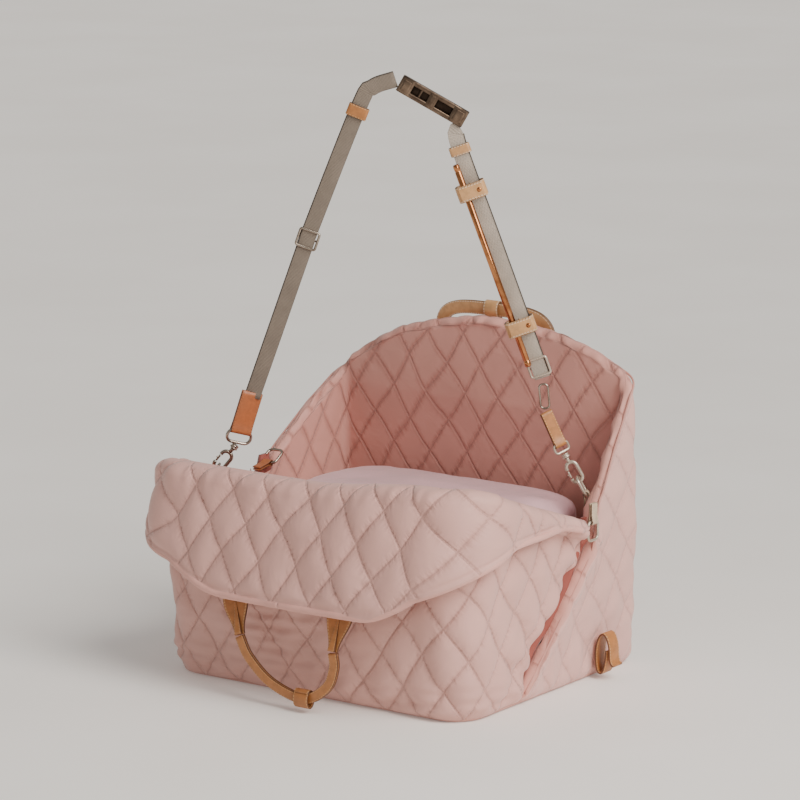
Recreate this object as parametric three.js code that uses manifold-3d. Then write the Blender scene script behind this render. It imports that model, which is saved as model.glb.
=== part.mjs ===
// Quilted carrier tote with a fold-over front flap, an arched hood, a raised seat cushion and a
// clip-on strap. Millimetres, +X to the right, +Y to the back, +Z up, origin on the floor under the
// middle of the base.
import * as THREE from 'three';
import Module from 'manifold-3d';
import { mergeVertices } from 'three/addons/utils/BufferGeometryUtils.js';

const wasm = await Module();
wasm.setup();

// Driving dimensions
const GAP = 0.3; // clearance between touching pieces
const HALF_WIDTH = 222;
const HALF_DEPTH = 184;
const FRONT_RADIUS = 46; // plan radius of the front corners
const REAR_RADIUS = 22; // plan radius of the rear corners
const WALL = 14; // padded wall thickness
const BASE_HEIGHT = 12;
const BOARD_HEIGHT = 4;
const SEAT_TOP = 200;
const CUSHION_HEIGHT = 46;
const CUSHION = { halfWidth: 180, front: -146, back: 162, radius: 56 };
const ROLL_RADIUS = 13;
const RIDGE_TOP = 262; // top of the front fold, in the middle
const FOLD_LINE = 252; // height at which the hood folds back
const APEX = 405;
const FLAP_THICKNESS = 12;
const HEM_HEIGHT = 122; // lowest edge of the flap
const HEM_REACH = 52; // how far the hem stands in front of the wall
const GRIP_RADIUS = 6.5;
const WEB_WIDTH = 19;
const WEB_THICKNESS = 2;
const ROD_RADIUS = 4;
const RING = { width: 24, height: 26, wire: 2.8 };

const BLUSH = { color: 0xd9b4ae, roughness: 0.75, metalness: 0 };
const ROSE = { color: 0xc08a80, roughness: 0.8, metalness: 0 };
const SATIN = { color: 0xd8bcc0, roughness: 0.45, metalness: 0 };
const LEATHER = { color: 0xbd8a5f, roughness: 0.55, metalness: 0 };
const WEBBING = { color: 0xc9c2b6, roughness: 0.8, metalness: 0 };
const CHAMPAGNE = { color: 0xcfc6ba, roughness: 0.3, metalness: 1 };
const BRONZE = { color: 0x6d5a50, roughness: 0.35, metalness: 1 };
const GILT = { color: 0xc58d5a, roughness: 0.25, metalness: 1 };
const BOARD = { color: 0x8f8a84, roughness: 0.7, metalness: 0 };
const FOAM = { color: 0xe6e1d6, roughness: 0.9, metalness: 0 };

const bag = new THREE.Group();

function addPart(name, geometry, look, parent = bag) {
  const mesh = new THREE.Mesh(geometry, new THREE.MeshStandardMaterial(look));
  mesh.name = name;
  parent.add(mesh);
  return mesh;
}

function mix(low, high, share) {
  return low + (high - low) * share;
}

function smooth(start, end, value) {
  return THREE.MathUtils.smoothstep(value, start, end);
}

// Booleans
function toSolid(geometry) {
  const bare = geometry.clone();
  bare.deleteAttribute('normal');
  bare.deleteAttribute('uv');
  const merged = mergeVertices(bare, 1e-4);
  const vertProperties = new Float32Array(merged.attributes.position.array);
  const triVerts = new Uint32Array(merged.index.array);
  return new wasm.Manifold(new wasm.Mesh({ numProp: 3, vertProperties, triVerts }));
}

function toGeometry(solid) {
  const mesh = solid.getMesh();
  const geometry = new THREE.BufferGeometry();
  geometry.setAttribute('position', new THREE.BufferAttribute(mesh.vertProperties, 3));
  geometry.setIndex(new THREE.BufferAttribute(mesh.triVerts, 1));
  geometry.computeVertexNormals();
  return geometry;
}

function joined(...geometries) {
  return toGeometry(geometries.map(toSolid).reduce((whole, piece) => whole.add(piece)));
}

function cutFrom(geometry, ...cutters) {
  return toGeometry(cutters.map(toSolid).reduce((whole, piece) => whole.subtract(piece), toSolid(geometry)));
}

// The plan outline of the bag. A station is the distance along it from the middle of the front,
// positive to the right, negative to the left.
const FRONT_RUN = HALF_WIDTH - FRONT_RADIUS;
const FRONT_CORNER = FRONT_RUN + (FRONT_RADIUS * Math.PI) / 2;
const SIDE_RUN = FRONT_CORNER + 2 * HALF_DEPTH - FRONT_RADIUS - REAR_RADIUS;
const REAR_CORNER = SIDE_RUN + (REAR_RADIUS * Math.PI) / 2;
const BACK_CENTRE = REAR_CORNER + HALF_WIDTH - REAR_RADIUS;

function outline(station) {
  const side = Math.sign(station) || 1;
  const along = Math.abs(station);
  let x = along;
  let y = -HALF_DEPTH;
  let turn = 0;
  if (along > REAR_CORNER) {
    x = BACK_CENTRE - along;
    y = HALF_DEPTH;
    turn = Math.PI;
  } else if (along > SIDE_RUN) {
    turn = Math.PI / 2 + (along - SIDE_RUN) / REAR_RADIUS;
    x = HALF_WIDTH - REAR_RADIUS + REAR_RADIUS * Math.sin(turn);
    y = HALF_DEPTH - REAR_RADIUS - REAR_RADIUS * Math.cos(turn);
  } else if (along > FRONT_CORNER) {
    x = HALF_WIDTH;
    y = -HALF_DEPTH + FRONT_RADIUS + along - FRONT_CORNER;
    turn = Math.PI / 2;
  } else if (along > FRONT_RUN) {
    turn = (along - FRONT_RUN) / FRONT_RADIUS;
    x = FRONT_RUN + FRONT_RADIUS * Math.sin(turn);
    y = -HALF_DEPTH + FRONT_RADIUS - FRONT_RADIUS * Math.cos(turn);
  }
  return { x: side * x, y, outX: side * Math.sin(turn), outY: -Math.cos(turn) };
}

// The walls belly out a little between the base and the rim, most in the middle of each side.
const BELLY = { everywhere: 4, front: 9, back: 6, height: 300 };

function belly(station, height) {
  const along = Math.abs(station);
  const front = 1 - Math.min(along / FRONT_RUN, 1) ** 2;
  const back = 1 - Math.min((BACK_CENTRE - along) / (BACK_CENTRE - REAR_CORNER), 1) ** 2;
  const rise = Math.sin((Math.PI * Math.min(height, BELLY.height)) / BELLY.height);
  return (BELLY.everywhere + BELLY.front * front + BELLY.back * back) * rise;
}

function wallPoint(station, height, offset) {
  const at = outline(station);
  const out = offset + belly(station, height);
  return new THREE.Vector3(at.x + at.outX * out, at.y + at.outY * out, height);
}

// A padded sheet that follows the outline: low and high give its edges at a station.
function bentPanel({ from, to, low, high, outer = () => 0, thickness = WALL, columns, rows }) {
  const geometry = new THREE.BoxGeometry(1, 1, 1, columns, rows, 1);
  const position = geometry.attributes.position;
  for (let i = 0; i < position.count; i += 1) {
    const across = position.getX(i) + 0.5;
    const up = position.getY(i) + 0.5;
    const station = mix(from, to, across);
    const height = mix(low(station), high(station), up);
    const offset = outer(station, up) - (0.5 - position.getZ(i)) * thickness;
    const point = wallPoint(station, height, offset);
    position.setXYZ(i, point.x, point.y, point.z);
  }
  geometry.computeVertexNormals();
  return geometry;
}

// Heights along the outline. The diagonal side seams climb from the base to the rim; the right one
// is the longer, because the left side of the bag has slumped open.
const SEAM_FOOT = 317; // station where a diagonal side seam meets the base
const RIGHT_SEAM = { head: 465, top: 168 };
const LEFT_SEAM = { head: 383, top: 205 };

function seamHeight(station) {
  const seam = station < 0 ? LEFT_SEAM : RIGHT_SEAM;
  const share = (Math.abs(station) - SEAM_FOOT) / (seam.head - SEAM_FOOT);
  return mix(BASE_HEIGHT + GAP, seam.top, Math.min(share, 1));
}

// The ridge dips at each front corner, then falls away evenly; on the right it first rises.
const RIDGE_LEFT = { rise: 0, dip: 17, dipFrom: 200, dipTo: 260, fall: 35, fallFrom: 250, fallRun: 110 };
const RIDGE_RIGHT = { rise: 14, dip: 26, dipFrom: 215, dipTo: 300, fall: 47, fallFrom: 290, fallRun: 140 };
const RIDGE_RISE_END = 170;

function ridgeTop(station) {
  const along = Math.abs(station);
  const ridge = station < 0 ? RIDGE_LEFT : RIDGE_RIGHT;
  const rise = ridge.rise * smooth(0, RIDGE_RISE_END, along);
  const dip = ridge.dip * smooth(ridge.dipFrom, ridge.dipTo, along);
  const fall = (ridge.fall * Math.max(along - ridge.fallFrom, 0)) / ridge.fallRun;
  return RIDGE_TOP + rise - dip - fall;
}

// Rim of the hood and wings: distance from the middle of the back, height
const RIGHT_RIM = [[0, APEX], [60, 403], [115, 394], [161, 380], [200, 361], [217, 353]];
RIGHT_RIM.push([234, 340], [252, 307], [274, 274], [299, 230], [312, 214], [318, 172]);
const LEFT_RIM = [[0, APEX], [26, 402], [74, 393], [123, 380], [161, 361], [200, 336]];
LEFT_RIM.push([217, 322], [238, 312], [287, 286], [345, 248], [399, 210]);

function rimHeight(station) {
  const fromBack = BACK_CENTRE - Math.abs(station);
  const rim = station < 0 ? LEFT_RIM : RIGHT_RIM;
  const next = rim.findIndex(([distance]) => distance > fromBack);
  if (next < 1) return rim[rim.length - 1][1];
  const [start, low] = rim[next - 1];
  const [end, high] = rim[next];
  return mix(low, high, (fromBack - start) / (end - start));
}

// Stations of one half of the outline, denser round the corners
function halfStations() {
  const runs = [[0, FRONT_RUN, 4], [FRONT_RUN, FRONT_CORNER, 4], [FRONT_CORNER, SIDE_RUN, 4]];
  runs.push([SIDE_RUN, REAR_CORNER, 3], [REAR_CORNER, BACK_CENTRE, 3]);
  const stations = [0];
  for (const [start, end, count] of runs) {
    for (let i = 1; i <= count; i += 1) stations.push(mix(start, end, i / count));
  }
  return stations;
}

function outlineShape(inset) {
  const right = halfStations();
  const left = right.slice(1, -1).reverse().map((station) => -station);
  const shape = new THREE.Shape();
  [...right, ...left].forEach((station, index) => {
    const point = wallPoint(station, 0, -inset);
    if (index === 0) shape.moveTo(point.x, point.y);
    else shape.lineTo(point.x, point.y);
  });
  shape.closePath();
  return shape;
}

function roundedRect(target, width, height, radius) {
  const w = width / 2;
  const h = height / 2;
  target.moveTo(-w + radius, -h);
  target.lineTo(w - radius, -h);
  target.quadraticCurveTo(w, -h, w, -h + radius);
  target.lineTo(w, h - radius);
  target.quadraticCurveTo(w, h, w - radius, h);
  target.lineTo(-w + radius, h);
  target.quadraticCurveTo(-w, h, -w, h - radius);
  target.lineTo(-w, -h + radius);
  target.quadraticCurveTo(-w, -h, -w + radius, -h);
  return target;
}

function slab(shape, low, high, bevel = 0) {
  const geometry = new THREE.ExtrudeGeometry(shape, {
    depth: high - low - 2 * bevel,
    bevelEnabled: bevel > 0,
    bevelSize: bevel,
    bevelThickness: bevel,
    bevelSegments: 2,
    curveSegments: 5,
  });
  return geometry.translate(0, 0, low + bevel);
}

function seatPlan(inset) {
  const depth = CUSHION.back - CUSHION.front;
  return roundedRect(
    new THREE.Shape(),
    2 * (CUSHION.halfWidth - inset),
    depth - 2 * inset,
    CUSHION.radius - inset,
  );
}

// Base, board, riser and cushion
const BOARD_TOP = BASE_HEIGHT + GAP + BOARD_HEIGHT;
const RISER_TOP = SEAT_TOP - CUSHION_HEIGHT;
const CUSHION_BEVEL = 9;
const SEAT_MIDDLE = (CUSHION.front + CUSHION.back) / 2;
addPart('base_panel', slab(outlineShape(1), 0, BASE_HEIGHT), BLUSH);
const seatStack = [
  ['base_board', slab(seatPlan(0), BASE_HEIGHT + GAP, BOARD_TOP), BOARD],
  ['foam_riser', slab(seatPlan(0), BOARD_TOP + GAP, RISER_TOP), FOAM],
  ['seat_cushion', slab(seatPlan(CUSHION_BEVEL), RISER_TOP + GAP, SEAT_TOP, CUSHION_BEVEL), SATIN],
];
for (const [name, geometry, look] of seatStack) {
  addPart(name, geometry, look).position.y = SEAT_MIDDLE;
}

// Front wall, back wall and the two side wings behind the diagonal seams
const WALL_FOOT = BASE_HEIGHT + GAP;
const FRONT_END = { left: 366, right: 440 };
const SEAM_GAP = 1.5;
const UNDER_ROLL = 5; // from the roll down to the top of the front wall
const LEAST_WALL = 3; // height that is left of the front wall at its ends

function frontLow(station) {
  return Math.max(WALL_FOOT, seamHeight(station) + SEAM_GAP);
}

function frontHigh(station) {
  return Math.max(ridgeTop(station) - 2 * ROLL_RADIUS - UNDER_ROLL, frontLow(station) + LEAST_WALL);
}

addPart(
  'front_wall',
  bentPanel({ from: -SEAM_FOOT, to: SEAM_FOOT, low: () => WALL_FOOT, high: frontHigh, columns: 34, rows: 5 }),
  BLUSH,
);

for (const [label, side] of [['left', -1], ['right', 1]]) {
  const start = SEAM_FOOT + GAP;
  const range = side > 0 ? [start, FRONT_END.right] : [-FRONT_END.left, -start];
  const panel = { from: range[0], to: range[1], low: frontLow, high: frontHigh, columns: 8, rows: 3 };
  addPart(`front_side_${label}`, bentPanel(panel), BLUSH);
}

// Stations past the back centre run on from BACK_CENTRE round to the other side.
function around(station) {
  return station > BACK_CENTRE ? station - 2 * BACK_CENTRE : station;
}

function wingHigh(station) {
  const head = station < 0 ? LEFT_SEAM.head : RIGHT_SEAM.head;
  const edge = Math.abs(station) < head ? seamHeight(station) : rimHeight(station);
  return Math.max(Math.min(edge, FOLD_LINE - 1), WALL_FOOT + 1);
}

function roundPanel({ from, to, low, high, ...rest }) {
  const geometry = new THREE.BoxGeometry(1, 1, 1, rest.columns, rest.rows, 1);
  const position = geometry.attributes.position;
  for (let i = 0; i < position.count; i += 1) {
    const station = around(mix(from, to, position.getX(i) + 0.5));
    const height = mix(low(station), high(station), position.getY(i) + 0.5);
    const point = wallPoint(station, height, -(0.5 - position.getZ(i)) * WALL);
    position.setXYZ(i, point.x, point.y, point.z);
  }
  geometry.computeVertexNormals();
  return geometry;
}

const WING_START = SEAM_FOOT + GAP;
const wingPieces = [
  ['wing_right', WING_START, SIDE_RUN, 14],
  ['back_wall', SIDE_RUN + GAP, 2 * BACK_CENTRE - SIDE_RUN - GAP, 22],
  ['wing_left', 2 * BACK_CENTRE - SIDE_RUN, 2 * BACK_CENTRE - WING_START, 14],
];
for (const [name, from, to, columns] of wingPieces) {
  addPart(name, roundPanel({ from, to, low: () => WALL_FOOT, high: wingHigh, columns, rows: 4 }), BLUSH);
}

// The hood: the arched top of the back panel, above its fold line
const HOOD_REACH = { right: 284, left: 334 }; // from the middle of the back
const HOOD_FROM = BACK_CENTRE - HOOD_REACH.right;
const HOOD_TO = BACK_CENTRE + HOOD_REACH.left;
const LEAST_HOOD = 4;

function hoodHigh(station) {
  return Math.max(rimHeight(station), FOLD_LINE + LEAST_HOOD);
}

addPart(
  'hood',
  roundPanel({
    from: HOOD_FROM,
    to: HOOD_TO,
    low: () => FOLD_LINE + 1,
    high: hoodHigh,
    columns: 36,
    rows: 4,
  }),
  BLUSH,
);

// Gussets: the folded lining just inside each diagonal seam
const GUSSET = { below: 45, above: 30, lowest: 24, highest: 182, thickness: 12 };

for (const [label, from, to] of [['left', -410, -345], ['right', 368, 492]]) {
  addPart(
    `gusset_${label}`,
    bentPanel({
      from,
      to,
      low: (station) => Math.max(seamHeight(station) - GUSSET.below, GUSSET.lowest),
      high: (station) => Math.min(seamHeight(station) + GUSSET.above, GUSSET.highest),
      outer: () => -WALL - 1,
      thickness: GUSSET.thickness,
      columns: 6,
      rows: 2,
    }),
    ROSE,
  );
}

// The front roll: padded tube along the ridge, round which the flap folds
const ROLL_END = { left: 368, right: 424 };

class RidgeCurve extends THREE.Curve {
  getPoint(share, target = new THREE.Vector3()) {
    const station = mix(-ROLL_END.left, ROLL_END.right, share);
    const height = ridgeTop(station) - ROLL_RADIUS;
    return target.copy(wallPoint(station, height, -WALL / 2));
  }
}

function circle(radius, sides) {
  const shape = new THREE.Shape();
  for (let i = 0; i < sides; i += 1) {
    const angle = (2 * Math.PI * i) / sides;
    const point = [radius * Math.cos(angle), radius * Math.sin(angle)];
    if (i === 0) shape.moveTo(...point);
    else shape.lineTo(...point);
  }
  shape.closePath();
  return shape;
}

function tube(curve, radius, sides, steps) {
  return new THREE.ExtrudeGeometry(circle(radius, sides), { extrudePath: curve, steps });
}

addPart('front_roll', tube(new RidgeCurve(), ROLL_RADIUS, 10, 52), BLUSH);

// The flap hangs outside the roll. Its hem is lowest in the middle and rises to the tips. The two
// wings start where the front corners do.
const RIGHT_TIP = 424;
const LEFT_TIP = 262;
const HEM_RISE = { height: 80, right: [112, 272], left: [80, 300] };
const TIP_RISE = { height: 4, from: 300 };
const TIP_DROP = { height: 14, from: 360 };
const FLAP_OUT = { ridge: 22, side: 23, from: 110, to: 290 }; // how far its face stands off the wall
const UNDER_RIDGE = 3;
const LEAST_FLAP = 8;

function hemHeight(station) {
  const along = Math.abs(station);
  const rise = smooth(...(station > 0 ? HEM_RISE.right : HEM_RISE.left), along);
  const tipRise = TIP_RISE.height * smooth(TIP_RISE.from, RIGHT_TIP, along);
  const tipDrop = TIP_DROP.height * smooth(TIP_DROP.from, RIGHT_TIP, along);
  return HEM_HEIGHT + HEM_RISE.height * rise + tipRise - tipDrop;
}

function flapHigh(station) {
  return Math.max(ridgeTop(station) - UNDER_RIDGE, hemHeight(station) + LEAST_FLAP);
}

function flapOuter(station, up) {
  const along = Math.abs(station);
  const reach = mix(HEM_REACH, FLAP_OUT.side, smooth(FLAP_OUT.from, FLAP_OUT.to, along));
  return mix(reach, FLAP_OUT.ridge, up);
}

function flapPanel(from, to, columns) {
  return bentPanel({
    from,
    to,
    low: hemHeight,
    high: flapHigh,
    outer: flapOuter,
    thickness: FLAP_THICKNESS,
    columns,
    rows: 4,
  });
}

addPart('flap_center', flapPanel(-FRONT_RUN, FRONT_RUN, 22), BLUSH);
addPart('flap_wing_right', flapPanel(FRONT_RUN + GAP, RIGHT_TIP, 16), BLUSH);
addPart('flap_wing_left', flapPanel(-LEFT_TIP, -FRONT_RUN - GAP, 9), BLUSH);

// Handles: two flared leather ends, a grip bowed between them and a wrap round the middle of it.
// Built in a local frame with X across, Y up and the ends at the top; Z is the leather's thickness.
const LEATHER_THICKNESS = 4;
const END_LENGTH = 62;
const END_WIDTH = 34;
const END_NECK = 14;
const WRAP_LENGTH = 22;
const WRAP_BORE = 3.8; // the wrap's clearance round the grip
const WRAP_OUTER = 6;

function handleEnd() {
  const shape = new THREE.Shape();
  shape.moveTo(-END_NECK / 2, 0);
  shape.lineTo(END_NECK / 2, 0);
  shape.quadraticCurveTo(END_WIDTH / 2 - 2, END_LENGTH * 0.35, END_WIDTH / 2, END_LENGTH * 0.6);
  shape.lineTo(END_WIDTH / 2 - 3, END_LENGTH);
  shape.lineTo(-END_WIDTH / 2 + 3, END_LENGTH);
  shape.lineTo(-END_WIDTH / 2, END_LENGTH * 0.6);
  shape.quadraticCurveTo(-END_WIDTH / 2 + 2, END_LENGTH * 0.35, -END_NECK / 2, 0);
  const settings = { depth: LEATHER_THICKNESS, bevelEnabled: false, curveSegments: 5 };
  return new THREE.ExtrudeGeometry(shape, settings).translate(0, 0, -LEATHER_THICKNESS / 2);
}

// The curve lists the grip's path: X in shares of half the spacing, Y in shares of the drop.
function gripCurve({ spacing, drop, curve }) {
  const start = [-1, -1 / drop];
  const end = [1, -1 / drop];
  const points = [start, ...curve, end].map(([x, y]) => new THREE.Vector3((x * spacing) / 2, y * drop, 0));
  return new THREE.CatmullRomCurve3(points);
}

function handleWrap({ spacing, drop, middle }) {
  const shape = circle(GRIP_RADIUS + WRAP_OUTER, 12);
  shape.holes.push(new THREE.Path(circle(GRIP_RADIUS + WRAP_BORE, 12).getPoints().reverse()));
  const settings = { depth: WRAP_LENGTH, bevelEnabled: false };
  const wrap = new THREE.ExtrudeGeometry(shape, settings).translate(0, 0, -WRAP_LENGTH / 2);
  return wrap.rotateY(Math.PI / 2).translate((middle * spacing) / 2, -drop, 0);
}

// neck is where the grip meets its ends; the ends lean by endLean, the grip by gripLean.
function addHandle(prefix, handle, neck, endLean, gripLean) {
  const ends = new THREE.Group();
  ends.position.set(neck.x, neck.y, neck.z);
  ends.rotation.x = endLean;
  bag.add(ends);
  for (const [label, side] of [['left', -1], ['right', 1]]) {
    const end = addPart(`${prefix}_end_${label}`, handleEnd(), LEATHER, ends);
    end.position.x = (side * handle.spacing) / 2;
    end.rotation.z = -side * handle.splay[label];
  }
  const frame = new THREE.Group();
  frame.position.set(neck.x, neck.y, neck.z);
  frame.rotation.x = gripLean;
  bag.add(frame);
  const grip = addPart(`${prefix}_grip`, tube(gripCurve(handle), GRIP_RADIUS, 8, 30), LEATHER, frame);
  grip.position.y = -GRIP_RADIUS / 2;
  const wrap = addPart(`${prefix}_wrap`, handleWrap(handle), LEATHER, frame);
  wrap.position.y = -GRIP_RADIUS / 2;
}

const UPRIGHT = Math.PI / 2;
const FRONT_HANDLE = {
  spacing: 136,
  drop: 65,
  middle: 0.37,
  splay: { left: 0.34, right: 0.06 },
  curve: [[-0.8, -0.42], [-0.32, -0.82], [0.37, -1], [0.86, -0.72], [1.02, -0.34]],
};
const FRONT_NECK = { x: 5, y: -HALF_DEPTH - HEM_REACH - 2, z: 82 };
addHandle('front_handle', FRONT_HANDLE, FRONT_NECK, UPRIGHT - 0.3, UPRIGHT);
const BACK_HANDLE = {
  spacing: 146,
  drop: 66,
  middle: 0,
  splay: { left: 0.1, right: 0.1 },
  curve: [[-1.1, -0.45], [-1.02, -0.8], [-0.7, -0.97], [0, -1], [0.7, -0.97], [1.02, -0.8], [1.1, -0.45]],
};
const BACK_NECK = { x: 3, y: HALF_DEPTH + 17, z: 346 };
addHandle('back_handle', BACK_HANDLE, BACK_NECK, -UPRIGHT + 0.02, -UPRIGHT + 0.1);

// Ring tabs and rings. In the local frame the ring stands along Y above its tab, its lower bar
// lies along Z in the tab's eye.
const TAB = { width: 13, length: 22, eye: 2.6, thickness: 7 };

function ringTab() {
  const shape = new THREE.Shape();
  shape.moveTo(-TAB.thickness / 2, -TAB.length);
  shape.lineTo(TAB.thickness / 2, -TAB.length);
  shape.lineTo(TAB.thickness / 2 + 1.4, 0);
  shape.absarc(0, 0, TAB.thickness / 2 + 1.4, 0, Math.PI, false);
  shape.lineTo(-TAB.thickness / 2, -TAB.length);
  const eye = new THREE.Path();
  eye.absarc(0, 0, TAB.eye, 0, 2 * Math.PI, true);
  shape.holes.push(eye);
  const settings = { depth: TAB.width, bevelEnabled: false, curveSegments: 6 };
  return new THREE.ExtrudeGeometry(shape, settings).translate(0, 0, -TAB.width / 2);
}

function frameRing(width, height, wire, depth, radius = 4) {
  const shape = roundedRect(new THREE.Shape(), width, height, radius);
  const inner = Math.max(radius - wire, 0.6);
  shape.holes.push(roundedRect(new THREE.Path(), width - 2 * wire, height - 2 * wire, inner));
  const settings = { depth, bevelEnabled: false, curveSegments: 3 };
  return new THREE.ExtrudeGeometry(shape, settings).translate(0, 0, -depth / 2);
}

function ringGeometry() {
  const geometry = frameRing(RING.width, RING.height, RING.wire, RING.wire, 6);
  geometry.translate(0, RING.height / 2 - RING.wire / 2, 0);
  return geometry.rotateY(Math.PI / 2);
}

// position is the centre of the ring's lower bar; the tab and the ring each tilt in their plane
function addRing(name, position, turn, tabTilt, ringTilt) {
  const holder = new THREE.Group();
  holder.position.set(position.x, position.y, position.z);
  holder.rotateZ(turn);
  holder.rotateX(Math.PI / 2);
  bag.add(holder);
  addPart(`ring_tab_${name}`, ringTab(), LEATHER, holder).rotation.z = tabTilt;
  addPart(`ring_${name}`, ringGeometry(), CHAMPAGNE, holder).rotation.z = ringTilt;
}

// The strap hangs in one upright plane between the front left and rear right rings.
const STRAP_LEFT = { x: -186, y: -130 };
const STRAP_RIGHT = { x: 203, y: 98 };
const STRAP_SPAN = Math.hypot(STRAP_RIGHT.x - STRAP_LEFT.x, STRAP_RIGHT.y - STRAP_LEFT.y);
const STRAP_TURN = Math.atan2(STRAP_RIGHT.y - STRAP_LEFT.y, STRAP_RIGHT.x - STRAP_LEFT.x);
const RING_REACH = RING.height - RING.wire; // between the centres of a ring's two bars
const LEFT_BAR = { x: -7, y: 231 }; // lower bar of the front left ring, in the strap plane
const RIGHT_BAR = { x: STRAP_SPAN - 1, y: 222 };

function planePoint(x, y) {
  const px = STRAP_LEFT.x + Math.cos(STRAP_TURN) * x;
  const py = STRAP_LEFT.y + Math.sin(STRAP_TURN) * x;
  return { x: px, y: py, z: y };
}

const LEFT_TILT = -0.69;
const RIGHT_TILT = 0.5;
addRing('front_left', planePoint(LEFT_BAR.x, LEFT_BAR.y), STRAP_TURN, 0, LEFT_TILT);
addRing('rear_right', planePoint(RIGHT_BAR.x, RIGHT_BAR.y), STRAP_TURN, 0, RIGHT_TILT);
addRing('rear_left', { x: -201, y: -2, z: 227 }, Math.PI / 2, -1.4, -1);
addRing('front_right', { x: HALF_WIDTH + 9, y: 68, z: 198 }, 0, Math.PI, Math.PI);

const strap = new THREE.Group();
strap.position.set(STRAP_LEFT.x, STRAP_LEFT.y, 0);
strap.rotateZ(STRAP_TURN);
strap.rotateX(Math.PI / 2);
bag.add(strap);

function rotated(x, y, angle) {
  return { x: x * Math.cos(angle) - y * Math.sin(angle), y: x * Math.sin(angle) + y * Math.cos(angle) };
}

// Snap hook: local Y points from the ring towards the strap, the ring's bar lies at the origin.
const HOOK = { width: 17, wire: 4, length: 30, depth: 4, seat: 4.2, stem: 5, barrel: 5 };

const HOOK_TOP = HOOK.length - HOOK.wire - HOOK.seat;
const GATE = { middle: 6.4, length: 8.4 };

function hookBody() {
  const frame = frameRing(HOOK.width, HOOK.length, HOOK.wire, HOOK.depth, 7);
  frame.translate(0, HOOK_TOP - HOOK.length / 2, 0);
  const mouth = new THREE.BoxGeometry(HOOK.wire * 2, GATE.length + 1.6, 8);
  mouth.translate(-HOOK.width / 2 + HOOK.wire / 2, GATE.middle, 0);
  const stem = new THREE.BoxGeometry(6, HOOK.stem + 2, HOOK.depth);
  stem.translate(0, HOOK_TOP + HOOK.stem / 2 - 1, 0);
  return joined(cutFrom(frame, mouth), stem);
}

function hookGate() {
  const gate = new THREE.BoxGeometry(2.6, GATE.length, 3);
  return gate.translate(-HOOK.width / 2 + HOOK.wire / 2, GATE.middle, 0);
}

function addHook(label, at, tilt) {
  const holder = new THREE.Group();
  holder.position.set(at.x, at.y, 0);
  holder.rotation.z = tilt;
  strap.add(holder);
  addPart(`strap_hook_${label}`, hookBody(), CHAMPAGNE, holder);
  addPart(`strap_gate_${label}`, hookGate(), CHAMPAGNE, holder);
  const barrel = new THREE.CylinderGeometry(4.2, 5, HOOK.barrel, 14);
  barrel.translate(0, HOOK_TOP + HOOK.stem + GAP + HOOK.barrel / 2, 0);
  addPart(`strap_swivel_${label}`, barrel, CHAMPAGNE, holder);
}

function barAbove(bar, tilt) {
  const up = rotated(0, RING_REACH, tilt);
  return { x: bar.x + up.x, y: bar.y + up.y };
}

const LEFT_HOOK_AT = barAbove(LEFT_BAR, LEFT_TILT);
const RIGHT_HOOK_AT = barAbove(RIGHT_BAR, RIGHT_TILT);
addHook('left', LEFT_HOOK_AT, LEFT_TILT);
addHook('right', RIGHT_HOOK_AT, RIGHT_TILT);

function aboveSwivel(at, tilt) {
  const up = rotated(0, HOOK_TOP + HOOK.stem + HOOK.barrel + 6 * GAP, tilt);
  return { x: at.x + up.x, y: at.y + up.y };
}

// D-rings take the leather ends; the leather is folded round the straight bar of each.
const STRAP_END = { eye: 2.8, thickness: 5 };

function strapEnd(width, length) {
  const shape = new THREE.Shape();
  const half = STRAP_END.thickness / 2;
  shape.moveTo(-half, length);
  shape.lineTo(-half - 1.6, 0);
  shape.absarc(0, 0, half + 1.6, Math.PI, 2 * Math.PI, false);
  shape.lineTo(half, length);
  const eye = new THREE.Path();
  eye.absarc(0, 0, STRAP_END.eye, 0, 2 * Math.PI, true);
  shape.holes.push(eye);
  const settings = { depth: width, bevelEnabled: false, curveSegments: 6 };
  const geometry = new THREE.ExtrudeGeometry(shape, settings).translate(0, 0, -width / 2);
  return geometry.rotateY(Math.PI / 2);
}

function stripAlong(points, width, thickness) {
  const shape = new THREE.Shape();
  const left = [];
  const right = [];
  points.forEach((point, index) => {
    const before = points[Math.max(index - 1, 0)];
    const after = points[Math.min(index + 1, points.length - 1)];
    const length = Math.hypot(after.x - before.x, after.y - before.y);
    const nx = -(after.y - before.y) / length;
    const ny = (after.x - before.x) / length;
    left.push([point.x + (nx * width) / 2, point.y + (ny * width) / 2]);
    right.push([point.x - (nx * width) / 2, point.y - (ny * width) / 2]);
  });
  [...left, ...right.reverse()].forEach((corner, index) => {
    if (index === 0) shape.moveTo(...corner);
    else shape.lineTo(...corner);
  });
  shape.closePath();
  const settings = { depth: thickness, bevelEnabled: false };
  return new THREE.ExtrudeGeometry(shape, settings).translate(0, 0, -thickness / 2);
}

// A holder in the strap plane, its local Y pointing from one point to the next.
function holderAt(from, to) {
  const holder = new THREE.Group();
  holder.position.set(from.x, from.y, 0);
  holder.rotation.z = Math.atan2(to.y - from.y, to.x - from.x) - Math.PI / 2;
  strap.add(holder);
  return holder;
}

function alongLine(from, to, distance) {
  const length = Math.hypot(to.x - from.x, to.y - from.y);
  return { x: mix(from.x, to.x, distance / length), y: mix(from.y, to.y, distance / length) };
}

// Slider: side rails beside the webbing, end bars in front of it, middle bar behind it.
const SLIDER = { length: 24, rail: 3, depth: 7.4, bar: 2, clearance: 1 };

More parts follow.
